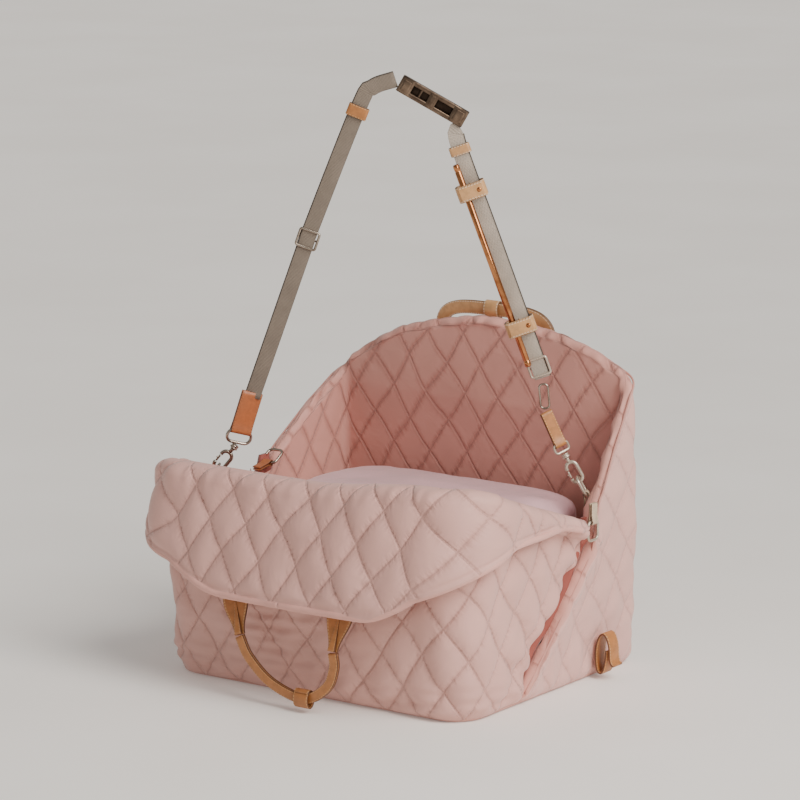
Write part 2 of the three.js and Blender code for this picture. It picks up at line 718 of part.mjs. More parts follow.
function slider() {
  const { length, rail, depth, bar, clearance } = SLIDER;
  const aside = WEB_WIDTH / 2 + clearance + rail / 2;
  const endY = (length - rail) / 2;
  const barZ = (depth - bar) / 2 - 0.1;
  const pieces = [
    new THREE.BoxGeometry(rail, length, depth).translate(-aside, 0, 0),
    new THREE.BoxGeometry(rail, length, depth).translate(aside, 0, 0),
    new THREE.BoxGeometry(2 * aside, rail, bar).translate(0, endY, barZ),
    new THREE.BoxGeometry(2 * aside, rail, bar).translate(0, -endY, barZ),
    new THREE.BoxGeometry(2 * aside, rail, bar).translate(0, 0, -barZ),
  ];
  return joined(...pieces);
}

const KEEPER = { extra: 6.4, wall: 2.5, radius: 2.6 };

function keeper(height) {
  const { extra, wall, radius } = KEEPER;
  const geometry = frameRing(WEB_WIDTH + extra, WEB_THICKNESS + extra, wall, height, radius);
  return geometry.rotateX(Math.PI / 2);
}

// Route points in the strap plane, from the left hook over the top to the right hook
const SLIDER_LEFT = { x: 121, y: 539 };
const KEEPER_LEFT = { x: 179, y: 686 };
const BUCKLE_LEFT = { x: 226, y: 714 };
const BUCKLE_RIGHT = { x: 304, y: 670 };
const KEEPER_RIGHT = { x: 294, y: 644 };
const SLIDER_RIGHT = { x: 394, y: 370 };
const LEFT_LEAN = -0.3;
const RIGHT_LEAN = 0.42;

function leatherFoot(at, tilt, dringHeight, lean) {
  const edge = aboveSwivel(at, tilt);
  const up = rotated(0, dringHeight, lean);
  return { x: edge.x + up.x, y: edge.y + up.y };
}

// D-ring and folded leather end, their shared bar at the holder's origin
function addStrapEnd(label, foot, lean, dring, endWidth, endLength) {
  const holder = new THREE.Group();
  holder.position.set(foot.x, foot.y, 0);
  holder.rotation.z = lean;
  strap.add(holder);
  const ring = frameRing(dring.width, dring.height, dring.wire, dring.wire, dring.radius);
  ring.translate(0, -dring.height / 2 + dring.wire / 2, 0);
  addPart(`strap_dring_${label}`, ring, CHAMPAGNE, holder);
  addPart(`strap_leather_${label}`, strapEnd(endWidth, endLength), LEATHER, holder);
}

const LEFT_DRING = { width: 35, height: 18, wire: 3, radius: 7 };
const RIGHT_DRING = { width: 22, height: 13, wire: 2.6, radius: 4 };
const leftFoot = leatherFoot(LEFT_HOOK_AT, LEFT_TILT, LEFT_DRING.height - 1, LEFT_LEAN);
const rightFoot = leatherFoot(RIGHT_HOOK_AT, RIGHT_TILT, RIGHT_DRING.height - 1, RIGHT_LEAN);
const LEATHER_LENGTH = 50;
const RIGHT_LEATHER_LENGTH = 42;
addStrapEnd('left', leftFoot, LEFT_LEAN, LEFT_DRING, 26, LEATHER_LENGTH);
addStrapEnd('right', rightFoot, RIGHT_LEAN, RIGHT_DRING, 15, RIGHT_LEATHER_LENGTH);

const webLeftStart = alongLine(leftFoot, SLIDER_LEFT, LEATHER_LENGTH + 2 * GAP);
const webLeftRoute = [webLeftStart, SLIDER_LEFT, KEEPER_LEFT, { x: 194, y: 707 }, { x: 219, y: 718 }];
const leftSliderAt = alongLine(SLIDER_LEFT, webLeftStart, 14);
const leftKeeperAt = alongLine(SLIDER_LEFT, KEEPER_LEFT, 150);
addPart('strap_webbing_left', stripAlong(webLeftRoute, WEB_WIDTH, WEB_THICKNESS), WEBBING, strap);
addPart('strap_slider_left', slider(), CHAMPAGNE, holderAt(leftSliderAt, SLIDER_LEFT));
addPart('strap_keeper_left', keeper(15), LEATHER, holderAt(leftKeeperAt, KEEPER_LEFT));

// Bar buckle with two windows, lying between the two runs of webbing
const BUCKLE_LENGTH = Math.hypot(BUCKLE_RIGHT.x - BUCKLE_LEFT.x, BUCKLE_RIGHT.y - BUCKLE_LEFT.y);
const bucklePlate = new THREE.BoxGeometry(21, BUCKLE_LENGTH, 9);
const WINDOW_AT = [28, 60]; // distances along the buckle
const buckleWindows = WINDOW_AT.map((y) => new THREE.BoxGeometry(11, 21, 12).translate(0, y, 0));
bucklePlate.translate(0, BUCKLE_LENGTH / 2, 0);
const buckleHolder = holderAt(BUCKLE_LEFT, BUCKLE_RIGHT);
addPart('strap_buckle', cutFrom(bucklePlate, ...buckleWindows), BRONZE, buckleHolder);

const RIGHT_RUN = Math.hypot(SLIDER_RIGHT.x - KEEPER_RIGHT.x, SLIDER_RIGHT.y - KEEPER_RIGHT.y);
const webRightStart = { x: 296, y: 659 };
const webRightEnd = alongLine(KEEPER_RIGHT, SLIDER_RIGHT, RIGHT_RUN + 8);
const webRightRoute = [webRightStart, KEEPER_RIGHT, webRightEnd];
const rightKeeperAt = alongLine(KEEPER_RIGHT, SLIDER_RIGHT, 10);
const rightSliderAt = alongLine(KEEPER_RIGHT, SLIDER_RIGHT, RIGHT_RUN - 6);
addPart('strap_webbing_right', stripAlong(webRightRoute, WEB_WIDTH, WEB_THICKNESS), WEBBING, strap);
addPart('strap_keeper_right', keeper(12), LEATHER, holderAt(rightKeeperAt, SLIDER_RIGHT));
addPart('strap_slider_right', slider(), CHAMPAGNE, holderAt(rightSliderAt, webRightEnd));

// Gilded rod in front of the right run, held by two leather clamps
const ROD_TOP = 24; // distance down the right run
const ROD_LENGTH = 256;
const ROD_OFFSET = 9; // in front of the webbing
const ROD_ASIDE = 10;
const rodHolder = holderAt(KEEPER_RIGHT, SLIDER_RIGHT);
const rod = new THREE.CylinderGeometry(ROD_RADIUS, ROD_RADIUS, ROD_LENGTH, 16);
rod.translate(ROD_ASIDE, ROD_TOP + ROD_LENGTH / 2, ROD_OFFSET);
addPart('strap_rod', rod, GILT, rodHolder);

// Section of a clamp: a bore for the rod in front of a slot for the webbing. The section's Y
// becomes the front direction and its depth runs down the strap.
const CLAMP = { width: 34, thickness: 20, aside: 3, front: 4, height: 20 };

function moved(points, x, y) {
  return new THREE.Path(points.map((point) => new THREE.Vector2(point.x + x, point.y + y)));
}

function rodClamp() {
  const shape = roundedRect(new THREE.Shape(), CLAMP.width, CLAMP.thickness, 5);
  const bore = circle(ROD_RADIUS + 0.6, 14).getPoints().reverse();
  const slot = roundedRect(new THREE.Path(), WEB_WIDTH + 1.4, WEB_THICKNESS + 1.4, 0.5).getPoints();
  shape.holes.push(moved(bore, ROD_ASIDE - CLAMP.aside, ROD_OFFSET - CLAMP.front));
  shape.holes.push(moved(slot, -CLAMP.aside, -CLAMP.front));
  const settings = { depth: CLAMP.height, bevelEnabled: false, curveSegments: 3 };
  const geometry = new THREE.ExtrudeGeometry(shape, settings);
  geometry.translate(CLAMP.aside, CLAMP.front, -CLAMP.height / 2);
  return geometry.rotateX(Math.PI / 2);
}

const CLAMP_AT = [['upper', 60], ['lower', 232]]; // distances down the right run
for (const [label, distance] of CLAMP_AT) {
  const clamp = addPart(`rod_clamp_${label}`, rodClamp(), LEATHER, rodHolder);
  clamp.position.y = distance;
}

// Link between the right slider and the right leather end
const rightLeather = rotated(0, RIGHT_LEATHER_LENGTH, RIGHT_LEAN);
const rightLeatherTop = { x: rightFoot.x + rightLeather.x, y: rightFoot.y + rightLeather.y };
const linkFoot = alongLine(rightLeatherTop, webRightEnd, 3);
const LINK = { width: 13, height: 32, wire: 2.6 };
const link = frameRing(LINK.width, LINK.height, LINK.wire, LINK.wire, 5).translate(0, LINK.height / 2, 0);
addPart('strap_link', link, CHAMPAGNE, holderAt(linkFoot, webRightEnd));

// Leather loops at the foot of each wing
const LOOP = { width: 24, height: 54, depth: 26, wall: 4.5 };
for (const [label, side] of [['left', -1], ['right', 1]]) {
  const shape = new THREE.Shape();
  shape.absellipse(0, 0, LOOP.width / 2, LOOP.height / 2, 0, 2 * Math.PI, false);
  const hole = new THREE.Path();
  hole.absellipse(0, 0, LOOP.width / 2 - LOOP.wall, LOOP.height / 2 - LOOP.wall, 0, 2 * Math.PI, true);
  shape.holes.push(hole);
  const settings = { depth: LOOP.depth, bevelEnabled: false, curveSegments: 7 };
  const geometry = new THREE.ExtrudeGeometry(shape, settings).translate(0, 0, -LOOP.depth / 2);
  const loop = addPart(`side_loop_${label}`, geometry, LEATHER);
  loop.rotation.x = Math.PI / 2;
  loop.position.set(side * (HALF_WIDTH + 4 + LOOP.width / 2 + 1), 92, LOOP.height / 2 + 6);
}

export default bag;
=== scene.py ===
import math
import bpy
import bmesh
import numpy as np
from mathutils import Matrix, Vector


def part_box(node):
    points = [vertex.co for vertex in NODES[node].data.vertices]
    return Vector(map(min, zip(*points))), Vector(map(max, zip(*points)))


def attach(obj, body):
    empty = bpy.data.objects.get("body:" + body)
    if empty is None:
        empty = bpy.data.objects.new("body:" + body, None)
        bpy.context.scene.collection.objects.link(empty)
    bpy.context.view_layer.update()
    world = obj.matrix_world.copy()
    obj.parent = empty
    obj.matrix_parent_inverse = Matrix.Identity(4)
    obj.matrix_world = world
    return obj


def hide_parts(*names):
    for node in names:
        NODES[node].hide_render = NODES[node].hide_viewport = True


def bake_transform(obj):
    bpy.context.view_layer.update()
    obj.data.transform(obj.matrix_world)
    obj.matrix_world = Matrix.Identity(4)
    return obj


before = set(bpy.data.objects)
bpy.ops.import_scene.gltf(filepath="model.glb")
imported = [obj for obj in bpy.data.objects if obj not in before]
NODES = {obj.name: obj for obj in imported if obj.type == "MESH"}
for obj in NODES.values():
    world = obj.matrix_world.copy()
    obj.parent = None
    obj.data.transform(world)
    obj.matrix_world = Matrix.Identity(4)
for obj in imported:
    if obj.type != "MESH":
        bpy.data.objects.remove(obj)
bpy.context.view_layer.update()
MM = 0.001
SCENE = bpy.context.scene
STEP = 3.3  # grid step of the cloth, in mm

# --- camera
CAM_AZIMUTH, CAM_ELEVATION = math.radians(35.49), math.radians(11.441)
CAM_DISTANCE = 4.8
CAM_AIM = Vector((-0.0018, 0.0, 0.3286))


def make_camera():
    """The photograph's view; the camera sits on a sphere round CAM_AIM."""
    back = Vector((
        math.sin(CAM_AZIMUTH) * math.cos(CAM_ELEVATION),
        -math.cos(CAM_AZIMUTH) * math.cos(CAM_ELEVATION),
        math.sin(CAM_ELEVATION),
    ))
    data = bpy.data.cameras.new("camera")
    data.lens, data.sensor_width = 180, 36
    data.clip_start, data.clip_end = 0.1, 100
    camera = bpy.data.objects.new("camera", data)
    camera.location = CAM_AIM + back * CAM_DISTANCE
    camera.rotation_mode = "QUATERNION"
    camera.rotation_quaternion = (-back).to_track_quat("-Z", "Y")
    SCENE.collection.objects.link(camera)
    SCENE.camera = camera


make_camera()

# --- small maths


def mix(low, high, share):
    return low + (high - low) * share


def smooth(start, end, value):
    t = np.clip((np.asarray(value, float) - start) / (end - start), 0, 1)
    return t * t * (3 - 2 * t)


def bump_at(value, centre, width):
    return np.exp(-(((np.asarray(value, float) - centre) / width) ** 2))


def ripple(x, y, seed, count=10, low=0.5, high=1.6):
    """Smooth seeded noise of about unit amplitude; x and y are already scaled to the feature size."""
    rng = np.random.default_rng(seed)
    total = np.zeros(np.broadcast(x, y).shape)
    for _ in range(count):
        angle, phase = rng.uniform(0, 2 * math.pi, 2)
        size = rng.uniform(low, high) * 2 * math.pi
        total += np.cos(size * (x * math.cos(angle) + y * math.sin(angle)) + phase)
    return total / math.sqrt(count)


# --- the bag's outline, in mm
HALF_WIDTH, HALF_DEPTH = 222, 184
FRONT_RADIUS, REAR_RADIUS, WALL = 46, 22, 14
FRONT_RUN = HALF_WIDTH - FRONT_RADIUS
FRONT_CORNER = FRONT_RUN + FRONT_RADIUS * math.pi / 2
SIDE_RUN = FRONT_CORNER + 2 * HALF_DEPTH - FRONT_RADIUS - REAR_RADIUS
REAR_CORNER = SIDE_RUN + REAR_RADIUS * math.pi / 2
BACK_CENTRE = REAR_CORNER + HALF_WIDTH - REAR_RADIUS
BASE_TOP, SEAM_FOOT, ROLL = 12.3, 317, 13
SEAM_HEAD = {1: (465, 168), -1: (383, 205)}
APEX, FOLD_LINE, RIDGE_TOP = 405, 252, 262
RIM_RIGHT = ((0, 60, 115, 161, 200, 217, 234, 252, 274, 299, 312, 318),
             (APEX, 403, 394, 380, 361, 353, 340, 307, 274, 230, 214, 172))
RIM_LEFT = ((0, 26, 74, 123, 161, 200, 217, 238, 287, 345, 399),
            (APEX, 402, 393, 380, 361, 336, 322, 312, 286, 248, 210))


def outline(station):
    """Plan position and outward direction at each station: distance from the front middle, + right."""
    s = np.asarray(station, float)
    a = np.abs(s)
    side = np.where(s < 0, -1.0, 1.0)
    turn_front = (a - FRONT_RUN) / FRONT_RADIUS
    turn_rear = math.pi / 2 + (a - SIDE_RUN) / REAR_RADIUS
    zone = [a > REAR_CORNER, a > SIDE_RUN, a > FRONT_CORNER, a > FRONT_RUN]
    turn = np.select(zone, [math.pi + 0 * a, turn_rear, math.pi / 2 + 0 * a, turn_front], 0.0)
    x = np.select(zone, [
        BACK_CENTRE - a,
        HALF_WIDTH - REAR_RADIUS + REAR_RADIUS * np.sin(turn),
        HALF_WIDTH + 0 * a,
        FRONT_RUN + FRONT_RADIUS * np.sin(turn),
    ], a)
    y = np.select(zone, [
        HALF_DEPTH + 0 * a,
        HALF_DEPTH - REAR_RADIUS - REAR_RADIUS * np.cos(turn),
        -HALF_DEPTH + FRONT_RADIUS + a - FRONT_CORNER,
        -HALF_DEPTH + FRONT_RADIUS - FRONT_RADIUS * np.cos(turn),
    ], -HALF_DEPTH + 0 * a)
    return side * x, y, side * np.sin(turn), -np.cos(turn)


def belly(station, height):
    a = np.abs(station)
    front = 1 - np.minimum(a / FRONT_RUN, 1) ** 2
    back = 1 - np.minimum((BACK_CENTRE - a) / (BACK_CENTRE - REAR_CORNER), 1) ** 2
    return (4 + 9 * front + 6 * back) * np.sin(math.pi * np.clip(height, 0, 300) / 300)


def wall_point(station, height, offset):
    x, y, ox, oy = outline(station)
    out = offset + belly(station, height)
    return np.stack(np.broadcast_arrays(x + ox * out, y + oy * out, height), -1)


def seam_height(station):
    a = np.abs(station)
    right = mix(BASE_TOP, SEAM_HEAD[1][1], np.minimum((a - SEAM_FOOT) / (SEAM_HEAD[1][0] - SEAM_FOOT), 1))
    left = mix(BASE_TOP, SEAM_HEAD[-1][1], np.minimum((a - SEAM_FOOT) / (SEAM_HEAD[-1][0] - SEAM_FOOT), 1))
    return np.where(np.asarray(station) < 0, left, right)


def ridge_top(station):
    a = np.abs(station)
    left = RIDGE_TOP - 17 * smooth(200, 260, a) - 35 * np.maximum(a - 250, 0) / 110
    right = (RIDGE_TOP + 14 * smooth(0, 170, a) - 26 * smooth(215, 300, a)
             - 47 * np.maximum(a - 290, 0) / 140)
    return np.where(np.asarray(station) < 0, left, right)


def rim_height(station):
    behind = BACK_CENTRE - np.abs(station)
    return np.where(np.asarray(station) < 0, np.interp(behind, *RIM_LEFT), np.interp(behind, *RIM_RIGHT))


def around(station):
    return np.where(station > BACK_CENTRE, station - 2 * BACK_CENTRE, station)


def hem_height(station):
    a = np.abs(station)
    rise = np.where(np.asarray(station) > 0, smooth(112, 272, a), smooth(80, 300, a))
    return 122 + 80 * rise + 4 * smooth(300, 424, a) - 14 * smooth(360, 424, a)


def flap_reach(station):
    return mix(52, 23, smooth(110, 290, np.abs(station)))


# --- materials


class Shader:
    """Short calls for building one node tree."""

    def __init__(self, name):
        self.material = bpy.data.materials.new(name)
        self.material.use_nodes = True
        self.nodes = self.material.node_tree.nodes
        self.links = self.material.node_tree.links
        self.main = self.nodes["Principled BSDF"]
        self.place = self.nodes.new("ShaderNodeTexCoord")

    def put(self, target, value):
        if hasattr(value, "links"):
            self.links.new(value, target)
        else:
            target.default_value = value

    def math(self, op, a, b=0.0, c=0.0):
        node = self.nodes.new("ShaderNodeMath")
        node.operation = op
        for socket, value in zip(node.inputs, (a, b, c)):
            self.put(socket, value)
        return node.outputs[0]

    def uv(self, name):
        node = self.nodes.new("ShaderNodeUVMap")
        node.uv_map = name
        split = self.nodes.new("ShaderNodeSeparateXYZ")
        self.links.new(node.outputs[0], split.inputs[0])
        return split.outputs[0], split.outputs[1]

    def vector(self, x, y, z=0.0):
        node = self.nodes.new("ShaderNodeCombineXYZ")
        for socket, value in zip(node.inputs, (x, y, z)):
            self.put(socket, value)
        return node.outputs[0]

    def noise(self, vector, scale, detail=3.0, rough=0.55, distortion=0.0):
        node = self.nodes.new("ShaderNodeTexNoise")
        self.put(node.inputs["Vector"], vector)
        node.inputs["Scale"].default_value = scale
        node.inputs["Detail"].default_value = detail
        node.inputs["Roughness"].default_value = rough
        node.inputs["Distortion"].default_value = distortion
        return node.outputs["Fac"]

    def ramp(self, value, low, high, to_low=0.0, to_high=1.0):
        node = self.nodes.new("ShaderNodeMapRange")
        node.interpolation_type = "SMOOTHSTEP"
        for key, v in (("Value", value), ("From Min", low), ("From Max", high),
                       ("To Min", to_low), ("To Max", to_high)):
            self.put(node.inputs[key], v)
        return node.outputs[0]

    def blend(self, share, a, b):
        node = self.nodes.new("ShaderNodeMix")
        node.data_type = "RGBA"
        self.put(node.inputs[0], share)
        self.put(node.inputs[6], a)
        self.put(node.inputs[7], b)
        return node.outputs[2]

    def bump(self, height, distance, strength=1.0, normal=None):
        node = self.nodes.new("ShaderNodeBump")
        node.inputs["Strength"].default_value = strength
        node.inputs["Distance"].default_value = distance
        self.put(node.inputs["Height"], height)
        if normal is not None:
            self.links.new(normal, node.inputs["Normal"])
        return node.outputs[0]

    def set(self, **values):
        names = {"color": "Base Color", "rough": "Roughness", "metal": "Metallic", "normal": "Normal",
                 "sheen": "Sheen Weight", "sheen_rough": "Sheen Roughness", "coat": "Coat Weight",
                 "coat_rough": "Coat Roughness", "specular": "Specular IOR Level"}
        for key, value in values.items():
            self.put(self.main.inputs[names[key]], value)
        return self.material


def rgb(hex_code):
    parts = [int(hex_code[i:i + 2], 16) / 255 for i in (0, 2, 4)]
    linear = [c / 12.92 if c < 0.04045 else ((c + 0.055) / 1.055) ** 2.4 for c in parts]
    return (*linear, 1.0)


def quilted_material(name, colour, groove_shade, pucker=1.0, lines=1.0, rough=0.6, shade=0.25):
    """Padded cloth: UV "quilt" counts stitch lines both ways, UV "cloth" is in metres."""
    sh = Shader(name)
    a, b = sh.uv("quilt")
    u, v = sh.uv("cloth")

    def from_line(value):
        return sh.math("ABSOLUTE", sh.math("SUBTRACT", sh.math("FRACT", sh.math("ADD", value, 0.5)), 0.5))

    da, db = from_line(a), from_line(b)
    near = sh.math("MINIMUM", da, db)
    crease = sh.ramp(near, 0.0, 0.055, 1.0, 0.0)
    stitch = sh.ramp(near, 0.006, 0.013, 1.0, 0.0)
    dash_a = sh.math("GREATER_THAN", sh.math("FRACT", sh.math("MULTIPLY", b, 13.0)), 0.28)
    gathers_a = sh.noise(sh.vector(sh.math("MULTIPLY", a, 2.2), sh.math("MULTIPLY", b, 7.0)), 1.0, 3.0)
    gathers_b = sh.noise(sh.vector(sh.math("MULTIPLY", a, 7.0), sh.math("MULTIPLY", b, 2.2), 4.0), 1.0, 3.0)
    mask_a, mask_b = sh.ramp(da, 0.0, 0.24, 1.0, 0.0), sh.ramp(db, 0.0, 0.24, 1.0, 0.0)
    gathers_a, gathers_b = sh.math("SUBTRACT", gathers_a, 0.5), sh.math("SUBTRACT", gathers_b, 0.5)
    gathers = sh.math("ADD", sh.math("MULTIPLY", gathers_a, mask_a), sh.math("MULTIPLY", gathers_b, mask_b))
    place = sh.vector(u, v)
    folds = sh.noise(place, 20.0, 3.0, 0.5, 0.6)
    cloth = sh.noise(place, 900.0, 2.0)
    height = sh.math("MULTIPLY", gathers, 0.0032 * pucker)
    height = sh.math("ADD", height, sh.math("MULTIPLY", folds, 0.0028 * pucker))
    height = sh.math("SUBTRACT", height, sh.math("MULTIPLY", crease, 0.0010 * lines))
    thread = sh.math("MULTIPLY", stitch, dash_a)
    height = sh.math("ADD", height, sh.math("MULTIPLY", thread, 0.0004 * lines))
    weave = sh.bump(cloth, 0.00012, 0.35)
    normal = sh.bump(height, 1.0, 1.0, weave)
    patches = sh.noise(place, 7.0, 3.0)
    tone = sh.blend(sh.ramp(patches, 0.3, 0.72), colour, [c * 0.9 for c in colour[:3]] + [1.0])
    # painted shade: the colour darkens towards the groove colour in a thin line along each sunken stitch line
    # and, more softly, across the padding beside it
    tone = sh.blend(sh.math("MULTIPLY", sh.ramp(near, 0.003, 0.022, 1.0, 0.0), 0.36 * lines), tone, groove_shade)
    tone = sh.blend(sh.math("MULTIPLY", sh.ramp(near, 0.0, 0.17, 1.0, 0.0), 0.34 * shade), tone, groove_shade)
    tone = sh.blend(sh.math("MULTIPLY", thread, 0.2 * lines), tone, rgb("e6c4bd"))
    return sh.set(color=tone, rough=rough, normal=normal, sheen=0.25, sheen_rough=0.4, specular=0.35)


def plain_cloth(name, colour, rough=0.6, fold=1.0, sheen=0.3):
    sh = Shader(name)
    place = sh.place.outputs["Object"]
    folds = sh.noise(place, 22.0, 4.0, 0.55, 0.8)
    weave = sh.bump(sh.noise(place, 1100.0, 2.0), 0.0001, 0.3)
    normal = sh.bump(folds, 0.003 * fold, 0.7, weave)
    tone = sh.blend(sh.ramp(sh.noise(place, 9.0), 0.3, 0.7), colour, [c * 0.88 for c in colour[:3]] + [1.0])
    return sh.set(color=tone, rough=rough, normal=normal, sheen=sheen, sheen_rough=0.35, specular=0.4)


def leather(name, colour, stitch_colour=None, dark_edge=0.85):
    """Leather strip: UV "strip" runs along in metres and across from 0 to 1, with its edges past them."""
    sh = Shader(name)
    along, across = sh.uv("strip")
    place = sh.place.outputs["Object"]
    grain = sh.noise(place, 520.0, 3.0, 0.6)
    pores = sh.noise(place, 120.0, 4.0, 0.6)
    edge = sh.math("ABSOLUTE", sh.math("SUBTRACT", across, 0.5))
    paint = sh.ramp(edge, 0.498, 0.514)
    row = sh.math("ABSOLUTE", sh.math("SUBTRACT", edge, 0.38))
    row = sh.math("MULTIPLY", sh.ramp(row, 0.018, 0.04, 1.0, 0.0), sh.ramp(edge, 0.5, 0.51, 1.0, 0.0))
    dash = sh.ramp(sh.math("PINGPONG", along, 0.0018), 0.0004, 0.0007)
    thread = sh.math("MULTIPLY", row, dash)
    tone = sh.blend(sh.ramp(pores, 0.3, 0.75), colour, [c * 0.74 for c in colour[:3]] + [1.0])
    tone = sh.blend(sh.ramp(sh.noise(place, 16.0, 3.0), 0.35, 0.75, 0.0, 0.35), tone, rgb("8f5a38"))
    tone = sh.blend(sh.math("MULTIPLY", paint, dark_edge), tone, rgb("45291a"))
    tone = sh.blend(thread, tone, stitch_colour or rgb("e3c9ab"))
    height = sh.math("SUBTRACT", sh.math("MULTIPLY", thread, 0.0004), sh.math("MULTIPLY", row, 0.00035))
    normal = sh.bump(height, 1.0, 1.0, sh.bump(grain, 0.0002, 0.5))
    rough = sh.ramp(pores, 0.3, 0.8, 0.4, 0.58)
    return sh.set(color=tone, rough=rough, normal=normal, coat=0.12, coat_rough=0.35)


def metal(name, colour, rough, wear, metallic=1.0):
    sh = Shader(name)
    place = sh.place.outputs["Object"]
    smear = sh.noise(place, 60.0, 4.0, 0.6)
    scratch = sh.noise(place, 420.0, 2.0)
    tone = sh.blend(sh.ramp(smear, 0.35, 0.75), colour, wear)
    return sh.set(color=tone, rough=sh.ramp(smear, 0.25, 0.8, rough * 0.8, rough * 1.35), metal=metallic,
                  normal=sh.bump(scratch, 0.00008, 0.3))


def webbing_material(name, colour, dark):
    """Woven strap: ribs run across it, with a raised selvedge."""
    sh = Shader(name)
    along, across = sh.uv("strip")
    ribs = sh.math("SINE", sh.math("MULTIPLY", along, 2 * math.pi / 0.0016))
    slant = sh.math("ADD", across, sh.math("MULTIPLY", along, 120.0))
    herring = sh.math("SINE", sh.math("MULTIPLY", slant, 40.0))
    edge = sh.math("ABSOLUTE", sh.math("SUBTRACT", across, 0.5))
    selvedge = sh.ramp(edge, 0.40, 0.45)
    height = sh.math("ADD", sh.math("MULTIPLY", ribs, 0.00012), sh.math("MULTIPLY", herring, 0.00008))
    height = sh.math("ADD", height, sh.math("MULTIPLY", selvedge, 0.0003))
    soil = sh.noise(sh.place.outputs["Object"], 30.0, 3.0)
    tone = sh.blend(sh.ramp(soil, 0.35, 0.7), colour, [c * 0.82 for c in colour[:3]] + [1.0])
    # painted shade: the colour darkens towards the dark tone in the low part of each rib
    tone = sh.blend(sh.ramp(ribs, -1.0, 1.0, 0.35, 0.0), tone, dark)
    tone = sh.blend(sh.math("MULTIPLY", selvedge, 0.35), tone, dark)
    return sh.set(color=tone, rough=0.75, normal=sh.bump(height, 1.0), sheen=0.2, sheen_rough=0.5)


# the second colour of each pair is painted shade, laid along the quilting's stitch lines
PINK, PINK_GROOVE_SHADE = rgb("dcaba0"), rgb("b0776a")
ROSE, ROSE_GROOVE_SHADE = rgb("dba093"), rgb("96564a")
MATERIALS = {
    "quilt": quilted_material("quilt_blush", PINK, PINK_GROOVE_SHADE),
    "side": quilted_material("quilt_side", rgb("dfb0a6"), PINK_GROOVE_SHADE, 0.9, 0.6),
    "inner": quilted_material("quilt_lining", ROSE, ROSE_GROOVE_SHADE, 0.7, 0.8, 0.55, 1.0),
    # painted shade: a dark red lining colour for the deep seam gaps, also used on the riser cover under the
    # seat
    "fold": plain_cloth("fold_lining_shade", rgb("9a5146"), 0.75),
    "base": plain_cloth("base_cloth", rgb("cf9c90"), 0.75),
    "piping": plain_cloth("piping_cloth", rgb("cf9488"), 0.6, 0.5),
    "piping_pale": plain_cloth("hem_cloth", rgb("e3ab9f"), 0.6, 1.4),
    "cushion": plain_cloth("cushion_satin", rgb("e0b5ba"), 0.36, 0.8, 0.35),
    "leather": leather("tan_leather", rgb("b97840"), rgb("c99a68")),
    "leather_pale": leather("pale_leather", rgb("d5a26d")),
    "leather_warm": leather("warm_leather", rgb("b8683a"), rgb("a9663d")),
    "cream": leather("cream_leather", rgb("d9c4a8")),
    "webbing": webbing_material("strap_webbing", rgb("c4b7a8"), rgb("85776a")),
    # painted shade: a dark copy of the webbing for the strip set behind each run
    "webbing_shadow": webbing_material("strap_webbing_shadow", rgb("54493f"), rgb("2f2822")),
    # painted shade: a darker copy of the strap webbing for the left run, which lies on the shaded side
    "webbing_shaded": webbing_material("strap_webbing_shaded", rgb("897b6d"), rgb("5d5147")),
    "champagne": metal("champagne_metal", rgb("b3a698"), 0.24, rgb("8d8073")),
    "cream_paint": metal("cream_enamel", rgb("cfc1b0"), 0.28, rgb("a99a88"), 0.55),
    "bronze": metal("bronze_metal", rgb("84705f"), 0.3, rgb("4f4036")),
    "bronze_dark": metal("bronze_recess", rgb("3f332b"), 0.45, rgb("2c241f")),
    "gilt": metal("gilt_metal", rgb("c28457"), 0.2, rgb("8f5835")),
    "board": plain_cloth("board_fibre", rgb("8f8a84"), 0.8, 0.4, 0.0),
}

# --- mesh helpers


def new_object(name, verts, faces, material, uvs=None):
    """A mesh object from points in mm. uvs maps a layer name to per-corner pairs."""
    mesh = bpy.data.meshes.new(name)
    mesh.from_pydata((np.asarray(verts, float) * MM).tolist(), [], [list(map(int, f)) for f in faces])
    for layer, data in (uvs or {}).items():
        mesh.uv_layers.new(name=layer).data.foreach_set("uv", np.asarray(data, np.float32).ravel())
    mesh.validate()
    mesh.polygons.foreach_set("use_smooth", [True] * len(mesh.polygons))
    mesh.materials.append(MATERIALS[material] if isinstance(material, str) else material)
    obj = bpy.data.objects.new(name, mesh)
    SCENE.collection.objects.link(obj)
    return obj


def outward(obj):
    """Turns all the faces of a closed mesh outwards."""
    bm = bmesh.new()
    bm.from_mesh(obj.data)
    bmesh.ops.recalc_face_normals(bm, faces=bm.faces)
    bm.to_mesh(obj.data)
    bm.free()
    return obj


def grid_object(name, points, material, layers=None, ring=False, caps=True):
    """A sheet of quads from points[i, j]. With ring, j closes on itself, and caps close both ends."""
    count_i, count_j = points.shape[:2]
    index = np.arange(count_i * count_j).reshape(count_i, count_j)
    last = count_j if ring else count_j - 1
    i, j = np.meshgrid(np.arange(count_i - 1), np.arange(last), indexing="ij")
    nxt = (j + 1) % count_j
    faces = np.stack([index[i, j], index[i + 1, j], index[i + 1, nxt], index[i, nxt]], -1).reshape(-1, 4)
    uvs = {}
    for layer, grid in (layers or {}).items():
        wide = np.concatenate([grid, grid[:, :1]], 1) if ring else grid
        corners = [wide[i, j], wide[i + 1, j], wide[i + 1, j + 1], wide[i, j + 1]]
        uvs[layer] = np.stack(corners, -2).reshape(-1, 2)
    faces = [list(f) for f in faces]
    if ring and caps:
        faces += [list(index[0]), list(index[-1][::-1])]
        for layer, grid in (layers or {}).items():
            uvs[layer] = np.concatenate([uvs[layer], grid[0], grid[-1][::-1]])
    obj = new_object(name, points.reshape(-1, 3), faces, material, uvs)
    return outward(obj) if ring and caps else obj


